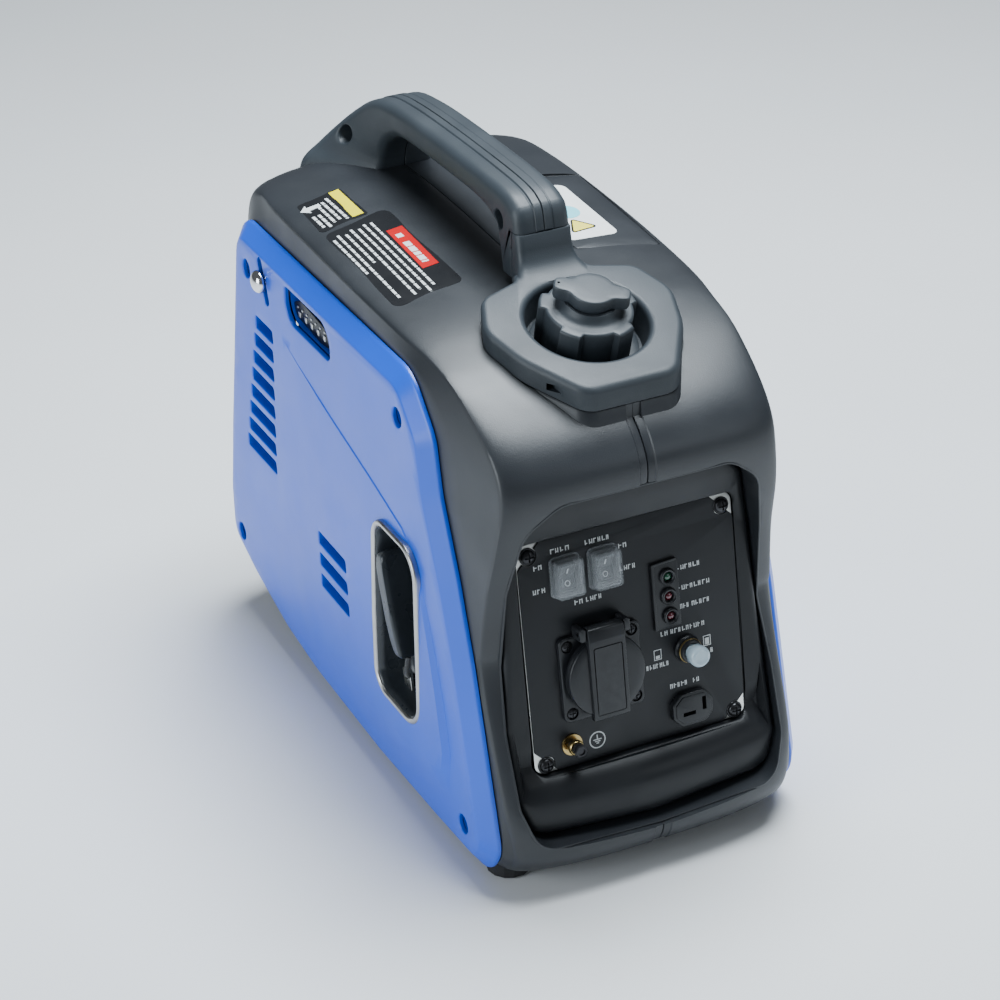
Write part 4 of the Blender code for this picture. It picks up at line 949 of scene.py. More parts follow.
def cover_face(outline, rise, matrix):
    """The face inside the chamfer, gently domed, with the raised plane and the bevel below it."""
    crease = divided(PLANE_TOP, 6.0)
    plane = crease + PLANE_FRONT + PLANE_LOW
    bevel = PLANE_TOP[-1:] + PLANE_FRONT + PLANE_LOW + BEVEL_FOOT[::-1]
    step_foot = [(y, z - CREASE_WIDTH * crease_fade(y)) for y, z in crease[1:-1]]
    strip = crease + [(y, z - 4.0) for y, z in crease[::-1]]

    def on_bevel(point):
        return inside(point, inset(bevel, -1.5)) or inside(point, inset(strip, -2.0))

    verts, faces = filled(outline, 7.0, [plane, BEVEL_FOOT, step_foot], on_bevel)
    grown = inset(plane, -0.02)
    bm = bmesh.new()
    points = []
    for vert in verts:
        y, z = vert
        height = COVER_RISE + rise * plane_rise(y, z) * inside((y, z), grown)
        if inside((y, z), grown) and z < between(PLANE_TOP, y) - CREASE_WIDTH * 0.9 * crease_fade(y):
            height += CREASE_STEP * crease_fade(y) * min(1.0, max(0.0, (93 - y) / 10))
        points.append(bm.verts.new(matrix @ Vector((y, z, COVER_RIM + height))))
    for face in faces:
        bm.faces.new([points[i] for i in face])
    return bm


def cover_blank(rise, matrix):
    """A closed cover: a chamfered band round the outline, a thin edge behind it, and the face."""
    outline = rounded(COVER_OUTLINE, 8)
    edge = [
        (0.0, 0.0), (0.05, 1.4), (0.5, 2.3), (1.3, 2.95), (2.4, 3.6),
        (10.2, 9.3), (11.0, 9.8), (COVER_CHAMFER, COVER_RISE),
    ]
    rings = [moved(inset(outline, inward), matrix, COVER_RIM + height) for inward, height in edge]
    under = [moved(inset(outline, inward), matrix, COVER_RIM + height)
             for inward, height in ((12.6, 7.2), (3.2, 0.6), (2.4, 0.0))]
    band = loft(under + rings)
    wide = [face for face in band.faces if len(face.verts) > 4]
    face_cap = [face for face in wide if abs(abs(face.calc_center_median().x) - COVER_RIM - COVER_RISE) < 0.5]
    bmesh.ops.delete(band, geom=face_cap, context="FACES_ONLY")
    blank = joined([band, cover_face(inset(outline, COVER_CHAMFER), rise, matrix)])
    bmesh.ops.remove_doubles(blank, verts=blank.verts, dist=0.002)
    bmesh.ops.recalc_face_normals(blank, faces=blank.faces)
    return blank


def side_covers():
    for name, matrix in (("left_side_cover", FROM_LEFT), ("right_side_cover", FROM_RIGHT)):
        blank = cover_blank(PLANE_RISE[name], matrix)
        tree = BVHTree.FromBMesh(blank)
        SURFACES[name] = tree
        vents = [louvre(*slot) for slot in LOUVRES + SHORT_LOUVRES]
        sockets = [circle(6.4, 28, centre) for centre in COVER_SCREWS]
        openings = [(outline, 1.0) for outline in vents] + [(outline, 1.3) for outline in sockets]
        if matrix is FROM_LEFT:
            openings.append((rounded(OBLONG_WINDOW, 8), 1.2))
            openings.append((inset(starter_outline(), 3.8), 0.3))
            openings.append((slot_outline(CHOKE_LOW, CHOKE_TOP, 4.0), 0.8))
        cover = combined(blank, [mouth(outline, tree, lip, 100, matrix) for outline, lip in openings])
        walls = [sleeve(inset(outline, -0.02), 1.3, 105.6, 111.8, matrix) for outline in vents]
        walls += [sleeve(inset(outline, -0.02), 1.5, 104.2, 110.5, matrix) for outline in sockets]
        if matrix is FROM_LEFT:
            walls.append(sleeve(inset(rounded(OBLONG_WINDOW, 8), -0.02), 1.5, 104.5, 109.5, matrix))
        piece(name + "_skin", joined([cover, *walls]), "cover_blue", replaces=[name], sharp=28)


def cover_screws():
    """Dark pan-head screws at the bottom of the covers' recesses."""
    heads = []
    for matrix in (FROM_LEFT, FROM_RIGHT):
        for centre in COVER_SCREWS:
            heads.append(screw_head(matrix, centre, 104.4, 4.6, 2.4))
    piece("cover_screws", joined(heads), "black_steel", sharp=40)


def screw_head(matrix, centre, base, radius, height):
    """A cross-recess pan head."""
    arc = [(radius * math.cos(a), base + height * (0.35 + 0.65 * math.sin(a))) for a in (0.0, 0.5, 1.0, 1.35)]
    head = turned([(radius, base), *arc], 28, matrix, centre)
    x, y = centre
    reach = radius * 0.62
    slots = [prism(around((x, y), reach, radius * 0.12), base + height * 0.5, base + height + 2, matrix),
             prism(around((x, y), radius * 0.12, reach), base + height * 0.5, base + height + 2, matrix)]
    return combined(head, slots)


def choke():
    """A chrome mushroom knob on a stem, with the dark mechanism seen through its slot."""
    dome = [(8.0 * math.cos(a), 116.9 + 5.29 * math.sin(a)) for a in (0.15, 0.4, 0.65, 0.9, 1.15, 1.4)]
    profile = [(3.2, 106), (3.2, 115.9), (7.1, 115.9), (7.8, 116.3), (8.0, 116.9), *dome, (0.4, 122.19)]
    knob = turned(profile, 48, FROM_LEFT, tuple(CHOKE_KNOB))
    piece("choke_knob_dome", knob, "chrome", "choke_knob", ["choke_knob"], sharp=50)
    plate = soft_prism(inset(slot_outline(CHOKE_LOW, CHOKE_TOP, 4.0), -2.5), 104.4, 106.2, FROM_LEFT, 0.4)
    slit = prism(slot_outline(CHOKE_LOW, CHOKE_TOP, 3.4), 100, 108, FROM_LEFT)
    piece("choke_slide_plate", combined(plate, [slit]), "switch_black")


def legend_plate():
    """A dark plate behind the oblong window, with plain raised bars for its markings."""
    corners = [(82, 292, 3), (70, 297, 2), (26, 293, 2), (24, 281.5, 2), (40, 279.5, 2), (82, 283, 2)]
    plate = soft_prism(rounded(corners, 5), 104.3, 108.0, FROM_LEFT, 0.5)
    bars = []
    for k in range(5):
        y = 74 - 10.0 * k
        bars.append(soft_prism(rounded_box(y - 3.6, y, 284.5, 288.5, 0.5, 3), 107.8, 108.7, FROM_LEFT, 0.25))
    for k in range(7):
        y = 76 - 7.2 * k
        bars.append(soft_prism(rounded_box(y - 2.2, y, 290.2, 291.6, 0.4, 3), 107.8, 108.6, FROM_LEFT, 0.2))
    piece("legend_plate", plate, "black_steel", sharp=40)
    piece("legend_bars", joined(bars), "zinc", sharp=40)


# Recoil starter

ROPE_EXIT = (-68.0, 84.5)
GRIP_TOP = Vector((-63.5, 180.5))
GRIP_LOW = Vector((-86.0, 113.0))
GRIP_DEPTH = 109.5
# Along the grip: share of its length, half width and half depth.
GRIP_SECTIONS = [
    (0.0, 2.2, 4.6), (0.015, 3.6, 7.0), (0.05, 4.8, 8.9), (0.16, 5.6, 10.0), (0.34, 5.9, 10.2),
    (0.5, 5.7, 10.0), (0.66, 5.8, 9.8), (0.84, 5.2, 9.0), (0.94, 4.5, 8.0), (0.985, 3.4, 6.6),
    (1.0, 2.2, 4.4),
]
CRANK_Y = 25.0
CRANK_Z = 115.0


def starter_recess():
    """A bright rim on the cover's face and a deep dark cup behind it."""
    outline = starter_outline()
    rim = []
    for k in range(13):
        angle = math.pi * k / 12
        rim.append((inset(outline, 2.1 - 2.1 * math.cos(angle)), 116.9 + 1.9 * math.sin(angle)))
    rim = [(inset(outline, 4.2), 114.5), (outline, 114.5)] + rim
    piece("starter_rim", stack(rim, FROM_LEFT, capped=False), "steel", sharp=60, replaces=["starter_bezel"])
    layers = [
        (inset(outline, 4.0), 92.0), (inset(outline, 4.0), 116.6), (inset(outline, 4.8), 117.0),
        (inset(outline, 5.6), 116.2), (inset(outline, 6.4), 112.0), (inset(outline, 7.2), 98.0),
        (inset(outline, 8.7), 95.2), (inset(outline, 11.2), 94.2),
    ]
    cup = combined(stack(layers, FROM_LEFT), [turned([(4.0, 80), (4.0, 100)], 24, FROM_LEFT, ROPE_EXIT)])
    piece("starter_cup", cup, "starter_gloss", sharp=50)


def starter_grip():
    """A pull handle that leans in its recess: a deep bar with a narrow outer edge and plain rounded flanks.
    """
    way = (GRIP_LOW - GRIP_TOP).normalized()
    across = Vector((-way.y, way.x))
    rings = []
    for share, half, depth in smooth_path(GRIP_SECTIONS, 4):
        centre = GRIP_TOP.lerp(GRIP_LOW, share)
        ring = []
        for u, v in circle(1.0, 40, start=math.pi / 40):
            square = (abs(u) ** 9 + abs(v) ** 9) ** (-1 / 9)
            point = centre + across * half * u * square
            ring.append(FROM_LEFT @ Vector((point.x, point.y, GRIP_DEPTH + depth * v * square)))
        rings.append(ring)
    piece("starter_grip_bar", loft(rings), "starter_gloss", "starter_grip", ["starter_grip"], sharp=50)


def rope_points():
    """The rope's way: off the pulley, forward along the housing, and out through the cup to the grip."""
    pulley_low = CRANK_Z - 37.5
    route = [
        (-76, CRANK_Y - 6, pulley_low), (-76, -25, pulley_low), (-79, -45, 78.5), (-85, -60, 82),
        (-92, *ROPE_EXIT), (-98, -69.5, 85.5), (-104, -73, 89), (-108, -79, 97), (-109.5, -85.8, 113.0),
    ]
    return [Vector(point) for point in smooth_path(route, 8)]


def starter_rope():
    """A braided rope: two sets of strands twisted opposite ways round a core."""
    path = rope_points()
    rings = []
    for index, ring in enumerate(along(path, 1.0, 18)):
        centre = path[index]
        swell = [1.82 + 0.13 * math.sin(index * 1.7 + k * 1.05) * math.cos(index * 1.7 - k * 1.05)
                 for k in range(len(ring))]
        rings.append([centre + (point - centre) * reach for point, reach in zip(ring, swell)])
    rope = piece("starter_rope_braid", loft(rings), "rope", "root", ["starter_rope"], sharp=60)
    rope.parent = None
    del rope["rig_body"]
    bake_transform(rope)


def rope_guide():
    """A bright plate that the rope comes through, and the grey stop in front of it."""
    tilt = FROM_LEFT @ Matrix.Translation((-71, 82.5, 0)) @ Matrix.Rotation(math.radians(-14), 4, "Z")
    plate = soft_prism(rounded_box(-5.5, 5.5, -9.5, 10.0, 1.6, 5), 102.0, 104.2, tilt, 0.4, both=True)
    plate = combined(plate, [turned([(2.6, 98), (2.6, 108)], 24, tilt, (1.2, 4.5))])
    stem = soft_prism(rounded_box(-4.0, 4.0, -8.0, -3.0, 1.0, 4), 94.5, 103.0, tilt, 0.3)
    piece("rope_guide_plate", joined([plate, stem]), "zinc", sharp=45)
    stop = soft_prism(rounded_box(-56, -50.5, 79, 88, 1.5, 5), 94.5, 101.0, FROM_LEFT, 0.8)
    piece("rope_guide_stop", stop, "collar_grey", sharp=45)


# Handle. Each station is top (y, z), underside (y, z) and half width at the top.

HANDLE_STATIONS = [
    ((201, 321), (139, 336), 63), ((200.5, 338), (139, 344), 58), ((197, 349), (138.5, 348), 46),
    ((188, 363), (137.5, 354), 34), ((174, 377), (134.5, 361.5), 25.5), ((157, 388.5), (128, 369), 21),
    ((137, 395.5), (117, 375.5), 19.3),
    ((105, 399), (98, 379.8), HANDLE_HALF), ((60, 400.6), (50, 381), HANDLE_HALF),
    ((10, 401), (-2, 381), HANDLE_HALF), ((-30, 400.5), (-20, 379), HANDLE_HALF),
    ((-50, 398.5), (-33, 373), HANDLE_HALF), ((-60.6, 394.2), (-41, 362), HANDLE_HALF),
]
HANDLE_END = [((-63.4, 390.4), (-42, 358), 18.8), ((-64.9, 385.5), (-43, 354), 18.8)]
HANDLE_FRONT = ((-66.2, 378.5), (-44, 350), 18.8)
HANDLE_SEAM = 0.15
HANDLE_BAND = 5.6
HANDLE_SCREWS = [((172, 361), 18.0), ((-40, 379), 12.0)]
# The block under the grip's front end, and the room left for the collar's post, as (y, z).
HANDLE_LEG = [
    (-38, 374, 0), (-43, 352, 12), (-44.5, 345, 0), (-57.5, 345, 0), (-57.5, 377.8, 0), (-62, 380, 0),
]
POST_ROOM = [(-57.8, 340), (-57.8, 377.6), (-90, 377.6), (-90, 340)]


def handle_section(top, under, half, side):
    """A half section: a raised band beside the seam, a lower shoulder, and rounded outer corners."""
    top = Vector(top)
    under = Vector(under)
    height = (top - under).length
    soft = min(7.5, height * 0.32)
    narrow = min(half, HANDLE_HALF)
    band = HANDLE_BAND
    profile = rounded([
        (HANDLE_SEAM, 0.5, 0), (HANDLE_SEAM + 0.5, 0, 0), (narrow, 0, soft * 0.9),
        (half, height - 0.7, soft), (band + 1.6, height - 0.7, 0.6), (band + 0.5, height - 1.2, 0.5),
        (band - 0.3, height, 0.5), (HANDLE_SEAM + 0.5, height, 0), (HANDLE_SEAM, height - 0.7, 0),
    ], 6)
    way = (top - under) / height
    return [(side * u, (under + way * v).x, (under + way * v).y) for u, v in profile]


def handle_cutters(tree):
    """What is taken away from a handle half: room for the collar's post, and the screws' wells."""
    wells = [mouth(circle(6.0, 32, centre), tree, 1.6, depth, FROM_LEFT) for centre, depth in HANDLE_SCREWS]
    return [prism(POST_ROOM, -30, 30, FROM_RIGHT), *wells]


def handle_halves():
    """Two halves that meet on the middle, each a curved grip and a block that stands on the collar's post."""
    flat = [(*top, *under, half) for top, under, half in HANDLE_STATIONS]
    stations = smooth_path(flat, 6) + [(*top, *under, half) for top, under, half in HANDLE_END]
    stations.append((*HANDLE_FRONT[0], *HANDLE_FRONT[1], HANDLE_FRONT[2]))
    grip = loft([handle_section(p[0:2], p[2:4], p[4], -1) for p in stations])
    tree = BVHTree.FromBMesh(grip)
    leg = rounded(HANDLE_LEG, 6)
    leg = stack([(leg, 0.15), (leg, 15.6), (inset(leg, 0.9), 18.0), (inset(leg, 2.4), 18.95)], FROM_LEFT)
    half = joined([combined(grip, handle_cutters(tree)), combined(leg, handle_cutters(tree))])
    other = mirrored(half.copy())
    piece("handle_left_skin", half, "collar_grey", replaces=["handle_left_half"], sharp=38)
    piece("handle_right_skin", other, "collar_grey", replaces=["handle_right_half"], sharp=38)
    heads = []
    for centre, depth in HANDLE_SCREWS:
        heads.append(screw_head(FROM_LEFT, centre, depth - 0.2, 4.4, 2.2))
        heads.append(screw_head(FROM_RIGHT, centre, depth - 0.2, 4.4, 2.2))
    piece("handle_screws", joined(heads), "black_steel", sharp=40)


# Filler

def fuel_collar():
    """A raised rim round the filler well, and the post that carries the front of the handle."""
    outline = pod_outline()
    layers = [(inset(outline, 0.9), -COLLAR_WALL), (inset(outline, 0.2), -COLLAR_WALL + 0.8)]
    for inward, height in round_over(4.2, 0.0, (0.0, 0.3, 0.6, 0.9, 1.2, 1.571)):
        layers.append((inset(outline, inward), height))
    collar = stack(layers, POD)
    wall = turned([(WELL_RADIUS + 2.6, -24), (WELL_RADIUS + 2.6, -2)], 64, CAP)
    lip = round_over(4.0, 0.0, (0.0, 0.4, 0.8, 1.2, 1.5))
    well = [(-2.2, -21.0), (-1.2, -16), *((inward - 0.6, height) for inward, height in lip), (3.4, 6)]
    well = turned([(WELL_RADIUS + outward, height) for outward, height in well], 64, CAP)
    neck = turned([(23.0, -40), (23.0, 0)], 48, CAP)
    collar = combined(combined(collar, [wall], "UNION"), [well, neck])
    rings = []
    for z, half, front in (
        (377.2, 18.4, -66.4), (376.4, 18.9, -66.9), (368, 19.0, -68.6), (362, 19.6, -71), (358, 21, -74),
        (355, 23.5, -78), (352, 26.0, -83), (345, 27, -84),
    ):
        corners = [(-19.0, -58.2, 1.0), (19.0, -58.2, 1.0), (half, front, 4.5), (-half, front, 4.5)]
        rings.append([Vector((x, y, z)) for x, y in rounded(corners, 6)])
    collar = combined(collar, [loft(rings)], "UNION")
    drain = Matrix.Translation(CAP_CENTRE) @ FROM_FRONT
    slot = prism(rectangle(-46, -40.5, -21.5, -17), 20, 60, drain)
    piece("fuel_collar_rim", combined(collar, [slot]), "collar_grey", replaces=["fuel_collar"], sharp=38)


def tab_outline(inward, count=180):
    """The cap's edge: a circle with five square finger tabs."""
    points = []
    for i in range(count):
        angle = 2 * math.pi * i / count
        lobe = abs(((angle - math.radians(4)) % (math.tau / 5)) - math.pi / 5)
        tab = min(1.0, max(0.0, (lobe - math.radians(20.5)) / math.radians(2.6)))
        reach = 27.2 + 3.6 * tab - inward
        points.append((reach * math.cos(angle), reach * math.sin(angle)))
    return points


def lever_outline(inward, count=120):
    """A disc with two square-ended lobes."""
    points = []
    for i in range(count):
        angle = 2 * math.pi * i / count
        lobe = ((abs(math.cos(angle)) / 23.4) ** 5 + (abs(math.sin(angle)) / 6.4) ** 5) ** -0.2
        reach = (14.6 ** 9 + lobe ** 9) ** (1 / 9) - inward
        points.append((reach * math.cos(angle), reach * math.sin(angle)))
    return points


def fuel_cap():
    """The cap with its finger tabs, the vent lever on top of it, and the neck's flange below."""
    layers = [(tab_outline(0.6), -19.0), (tab_outline(0.0), -17.5), (tab_outline(0.0), 7.4)]
    layers += [(tab_outline(inward), height) for inward, height in round_over(1.9, 9.3, (0.5, 1.0, 1.571))]
    layers += [(circle(radius, 180), height) for radius, height in (
        (24.6, 9.35), (22.6, 9.5), (20.6, 10.1), (18.9, 11.2), (17.7, 12.7), (17.1, 14.2), (16.6, 14.95),
    )]
    hollow = stack([(circle(22.8, 72), -30), (circle(22.8, 72), -1)], CAP)
    body = combined(stack(layers, CAP), [hollow])
    piece("fuel_cap_body", body, "collar_grey", "cap", ["fuel_cap"], sharp=34)
    turn = CAP @ Matrix.Rotation(math.radians(-33), 4, "Z")
    layers = [(lever_outline(0.7), 15.15), (lever_outline(0.25), 16.2), (lever_outline(0.0), 17.0),
              (lever_outline(0.0), 22.4)]
    layers += [(lever_outline(inward), height) for inward, height in round_over(1.3, 23.7, (0.5, 1.0, 1.571))]
    layers.append((lever_outline(4.0), 23.95))
    dimple = turned([(0.9, 22.5), (0.9, 26)], 16, turn, (-20.5, 0))
    lever = combined(stack(layers, turn), [dimple])
    piece("vent_lever_disc", lever, "collar_grey", "vent_lever", ["vent_lever"], sharp=38)
    flange = [(23.6, -20.5), (33.2, -20.5), (34.2, -19.6), (33.5, -18.8), (24.5, -18.4), (23.6, -18.9)]
    piece("filler_neck_flange", turned(flange, 64, CAP, capped=False), "collar_grey", sharp=50)


# Front frame and control panel

# The frame's front in side view, (y, z).
FRAME_FRONT = [
    (-178, 268), (-176.5, 245), (-171, 222), (-175, 198), (-183, 150), (-188, 121), (-193, 92), (-195.2, 82),
    (-197.5, 79.2), (-201.5, 77.5), (-206, 75.4), (-210.5, 72.0), (-214.2, 67), (-216.4, 61), (-217.2, 54),
    (-216.6, 46), (-214.6, 40), (-211, 35), (-205, 30),
]


def frame_front_y(x, z):
    """The front's depth at one spot: the profile, swept back towards the corners below the panel."""
    for (y0, z0), (y1, z1) in zip(FRAME_FRONT, FRAME_FRONT[1:]):
        if z1 <= z <= z0:
            y = y0 + (y1 - y0) * (z0 - z) / (z0 - z1)
            break
    else:
        y = FRAME_FRONT[0][0] if z > 200 else FRAME_FRONT[-1][0]
    share = min(1.0, max(0.0, (95 - z) / 25))
    return y + 10 * (abs(x) / 96) ** 2 * share


def front_frame():
    """The dark surround of the control panel: flat above, and swelling out into a chin below."""
    outline = inset(rounded(FRONT_OPENING, 8), 0.7)
    rings = []
    for back, inward in ((16, 0.0), (6, 0.0), (3.6, 0.3), (2.0, 0.9), (0.9, 1.9), (0.25, 3.2), (0.0, 4.8)):
        ring = inset(outline, inward)
        rings.append([(x, frame_front_y(x, z) + back, z) for x, z in ring])
    edge = loft(rings)
    cap = [face for face in edge.faces if len(face.verts) > 4]
    cap.sort(key=lambda face: face.calc_center_median().y)
    bmesh.ops.delete(edge, geom=[cap[0]], context="FACES_ONLY")
    verts, faces = filled(inset(outline, 4.8), 4.0)
    front = bmesh.new()
    points = [front.verts.new((v.x, frame_front_y(v.x, v.y), v.y)) for v in verts]
    for face in faces:
        front.faces.new([points[i] for i in face])
    blank = joined([edge, front])
    bmesh.ops.remove_doubles(blank, verts=blank.verts, dist=0.002)
    bmesh.ops.recalc_face_normals(blank, faces=blank.faces)
    x = PANEL_HALF_WIDTH + 0.6
    hole = rounded_box(-x, x, -PANEL_BELOW - 0.6, PANEL_ABOVE + 0.6, 7)
    tree = BVHTree.FromBMesh(blank)
    frame_piece = combined(blank, [mouth(hole, tree, 0.9, -60, PANEL)])
    piece("front_frame_skin", frame_piece, "panel_black", replaces=["front_frame"], sharp=34)


PANEL_SCREW_X = 67.3
PANEL_SCREW_V = 139.5
SWITCHES = {"econ": (-43.5, -18.0), "engine": (-17.5, -18.5)}
LAMPS = {
    "output_lamp": (25, -36, "green_lens"),
    "overload_lamp": (25, -49, "red_lens"),
    "oil_lamp": (25.5, -62.5, "red_lens"),
}
SWITCH_BODY = (6.6, 10.4)
ROCKER_SLOPES = (29.7, -13.2)
LED_CENTRE = (24.0, -48.0)
LED_BODY = (7.0, 20.0)
SOCKET = (-25.5, -86.0)
BREAKER = (36.0, -88.0)
OUTLET = (35.5, -128.0)
OUTLET_BODY = (11.0, 8.0)
STUD = (-49.0, -130.0)
CROSSWISE = PANEL @ ACROSS


def screw_spots():
    return [(side * PANEL_SCREW_X, -v) for v in (0.0, PANEL_SCREW_V) for side in (-1, 1)]


def panel_holes():
    """The openings that go through both plates, as outlines on the panel."""
    grow = 0.3
    holes = [around(centre, *SWITCH_BODY, grow) for centre in SWITCHES.values()]
    holes.append(around(LED_CENTRE, *LED_BODY, grow))
    holes.append(circle(20.5 + grow, 48, SOCKET))
    holes.append(circle(6.0 + grow, 32, BREAKER))
    holes.append(around(OUTLET, *OUTLET_BODY, grow))
    holes.append(circle(3.2 + grow, 24, STUD))
    return holes


def overlay_outline():
    """The black face plate: its corners are cut off so that the metal plate shows round the screws."""
    x = PANEL_HALF_WIDTH - 0.25
    low = -PANEL_BELOW + 0.25
    high = PANEL_ABOVE - 0.25
    nick = 15.5
    corners = [
        (-x + nick, low), (x - nick, low), (x, low + nick), (x, high - nick), (x - nick, high),
        (-x + nick, high), (-x, high - nick), (-x, low + nick),
    ]
    return rounded([(u, v, 1.5) for u, v in corners], 4)


def panel_plates():
    plate = rounded_box(-PANEL_HALF_WIDTH, PANEL_HALF_WIDTH, -PANEL_BELOW, PANEL_ABOVE, 6.5)
    holes = [prism(hole, -5, 5, PANEL) for hole in panel_holes()]
    small = [turned([(2.4, -5), (2.4, 5)], 24, PANEL, spot) for spot in screw_spots()]
    back = combined(soft_prism(plate, -1.5, -0.3, PANEL, 0.3), holes + small)
    piece("panel_backplate_sheet", back, "zinc", replaces=["panel_backplate"])
    holes = [prism(hole, -5, 5, PANEL) for hole in panel_holes()]
    large = [turned([(6.0, -5), (6.0, 5)], 40, PANEL, spot) for spot in screw_spots()]
    face = combined(soft_prism(overlay_outline(), 0.0, 0.9, PANEL, 0.25), holes + large)
    piece("control_panel_face", face, "panel_black", replaces=["control_panel"])


def panel_screws():
    for number, spot in enumerate(screw_spots(), 1):
        head = screw_head(PANEL, spot, 0.1, 4.7, 3.6)
        washer = turned([(5.3, -0.2), (5.6, 0.3), (5.2, 0.8), (3.0, 0.8)], 40, PANEL, spot)
        name = f"panel_screw_{number}"
        piece(name + "_head", joined([head, washer]), "black_steel", replaces=[name], sharp=45)


def rocker_profile(y):
    """A rocker in side view, pressed in at the bottom, as (v, w) on the panel."""
    points = [(-8.1, 4.4), (0, 2.5), (7.9, 7.0), (8.1, 1.0), (4, -3.4), (-4, -3.4), (-8.1, 1.0)]
    return [(y + v, w) for v, w in points]


def switches():
    """Rocker switches in their frames, each under a clear boot."""
    for name, (x, y) in SWITCHES.items():
        flange = soft_prism(rounded_box(x - 8.6, x + 8.6, y - 11.7, y + 11.7, 1.5, 5), 1.0, 3.2, PANEL, 0.5)
        inner = rounded_box(x - 5.6, x + 5.6, y - 9.4, y + 9.4, 0.8, 4)
        body = combined(flange, [prism(inner, -8, 6, PANEL)])
        well = sleeve(inner, 1.0, -8.0, 3.0, PANEL)
        floor = prism(inset(inner, -0.5), -8.6, -7.6, PANEL)
        piece(f"{name}_switch_frame", joined([body, well, floor]), "switch_black",
              replaces=[f"{name}_switch_body"])
        profile = rounded([(v, w, 0.6) for v, w in rocker_profile(y)], 4)
        rocker = stack([(inset(profile, 0.3), x - 5.2), (profile, x - 4.9), (profile, x + 4.9),
                        (inset(profile, 0.3), x + 5.2)], CROSSWISE)
        piece(f"{name}_rocker_cap", rocker, "switch_black", f"{name}_rocker", [f"{name}_rocker"], sharp=40)
        outer = rounded_box(x - 9.9, x + 9.9, y - 13.0, y + 13.0, 3.2, 8)
        foot = inset(outer, -0.6)
        layers = [(foot, 0.95), (foot, 1.7), (outer, 2.2), (inset(outer, 0.5), 8.6)]
        for a in (0.4, 0.8, 1.2, 1.571):
            layers.append((inset(outer, 0.5 + 1.6 * (1 - math.cos(a))), 8.6 + 1.9 * math.sin(a)))
        hollow = stack([(inset(outer, 1.1), 0.5), (inset(outer, 1.5), 8.2), (inset(outer, 2.6), 9.3)], PANEL)
        ridge = sleeve(inset(outer, 3.6), 0.5, 10.3, 10.8, PANEL)
        boot = joined([combined(stack(layers, PANEL), [hollow]), ridge])
        piece(f"{name}_boot_shell", boot, "clear_boot", replaces=[f"{name}_switch_boot"], sharp=50)
        middle = PANEL @ Matrix.Translation((x, y, 2.5))
        upper, lower = (middle @ Matrix.Rotation(math.radians(slope), 4, "X") for slope in ROCKER_SLOPES)
        line = prism(around((0, 4.6), 0.45, 2.2), -0.1, 0.12, upper)
        ring = sleeve(circle(1.35, 24, (0, -4.6)), 0.55, -0.1, 0.12, lower)
        marks = joined([line, ring])
        piece(f"{name}_rocker_marks", marks, "white_button", f"{name}_rocker", material=WHITE_INK)


# Around a lamp, as (radius, height).
LAMP_BEZEL = [(5.6, 2.2), (5.6, 3.9), (5.3, 4.6), (4.6, 5.0), (3.8, 4.8), (3.3, 4.2), (3.0, 1.0), (5.6, 1.0)]


def lamps():
    """Three lamps in round bezels on one raised block."""
    flange = soft_prism(rounded_box(15.5, 33, -70.5, -26, 1.8, 5), 1.0, 2.4, PANEL, 0.4)
    rail = soft_prism(rounded([(14.2, -70.5, 0.6), (16.0, -70.5, 0.6), (16.0, -27.6, 0.4), (32, -26.6, 0.6),
                               (32, -25.0, 0.6), (14.2, -26.0, 0.6)], 3), 1.0, 3.2, PANEL, 0.3)
    parts = [flange, rail]
    for name, (x, y, slot) in LAMPS.items():
        parts.append(turned(LAMP_BEZEL, 36, PANEL, (x, y), capped=False))
        dome = [(2.75, -2.0), (2.75, 2.2), (2.55, 3.0), (2.0, 3.7), (1.2, 4.1), (0.3, 4.25)]
        piece(f"{name}_lens", turned(dome, 32, PANEL, (x, y)), slot, replaces=[name], sharp=50)
    holes = [turned([(3.0, -6), (3.0, 8)], 32, PANEL, (x, y)) for x, y, _ in LAMPS.values()]
    parts[0] = combined(parts[0], holes)
    piece("led_block_frame", joined(parts), "switch_black", replaces=["led_block"], sharp=40)


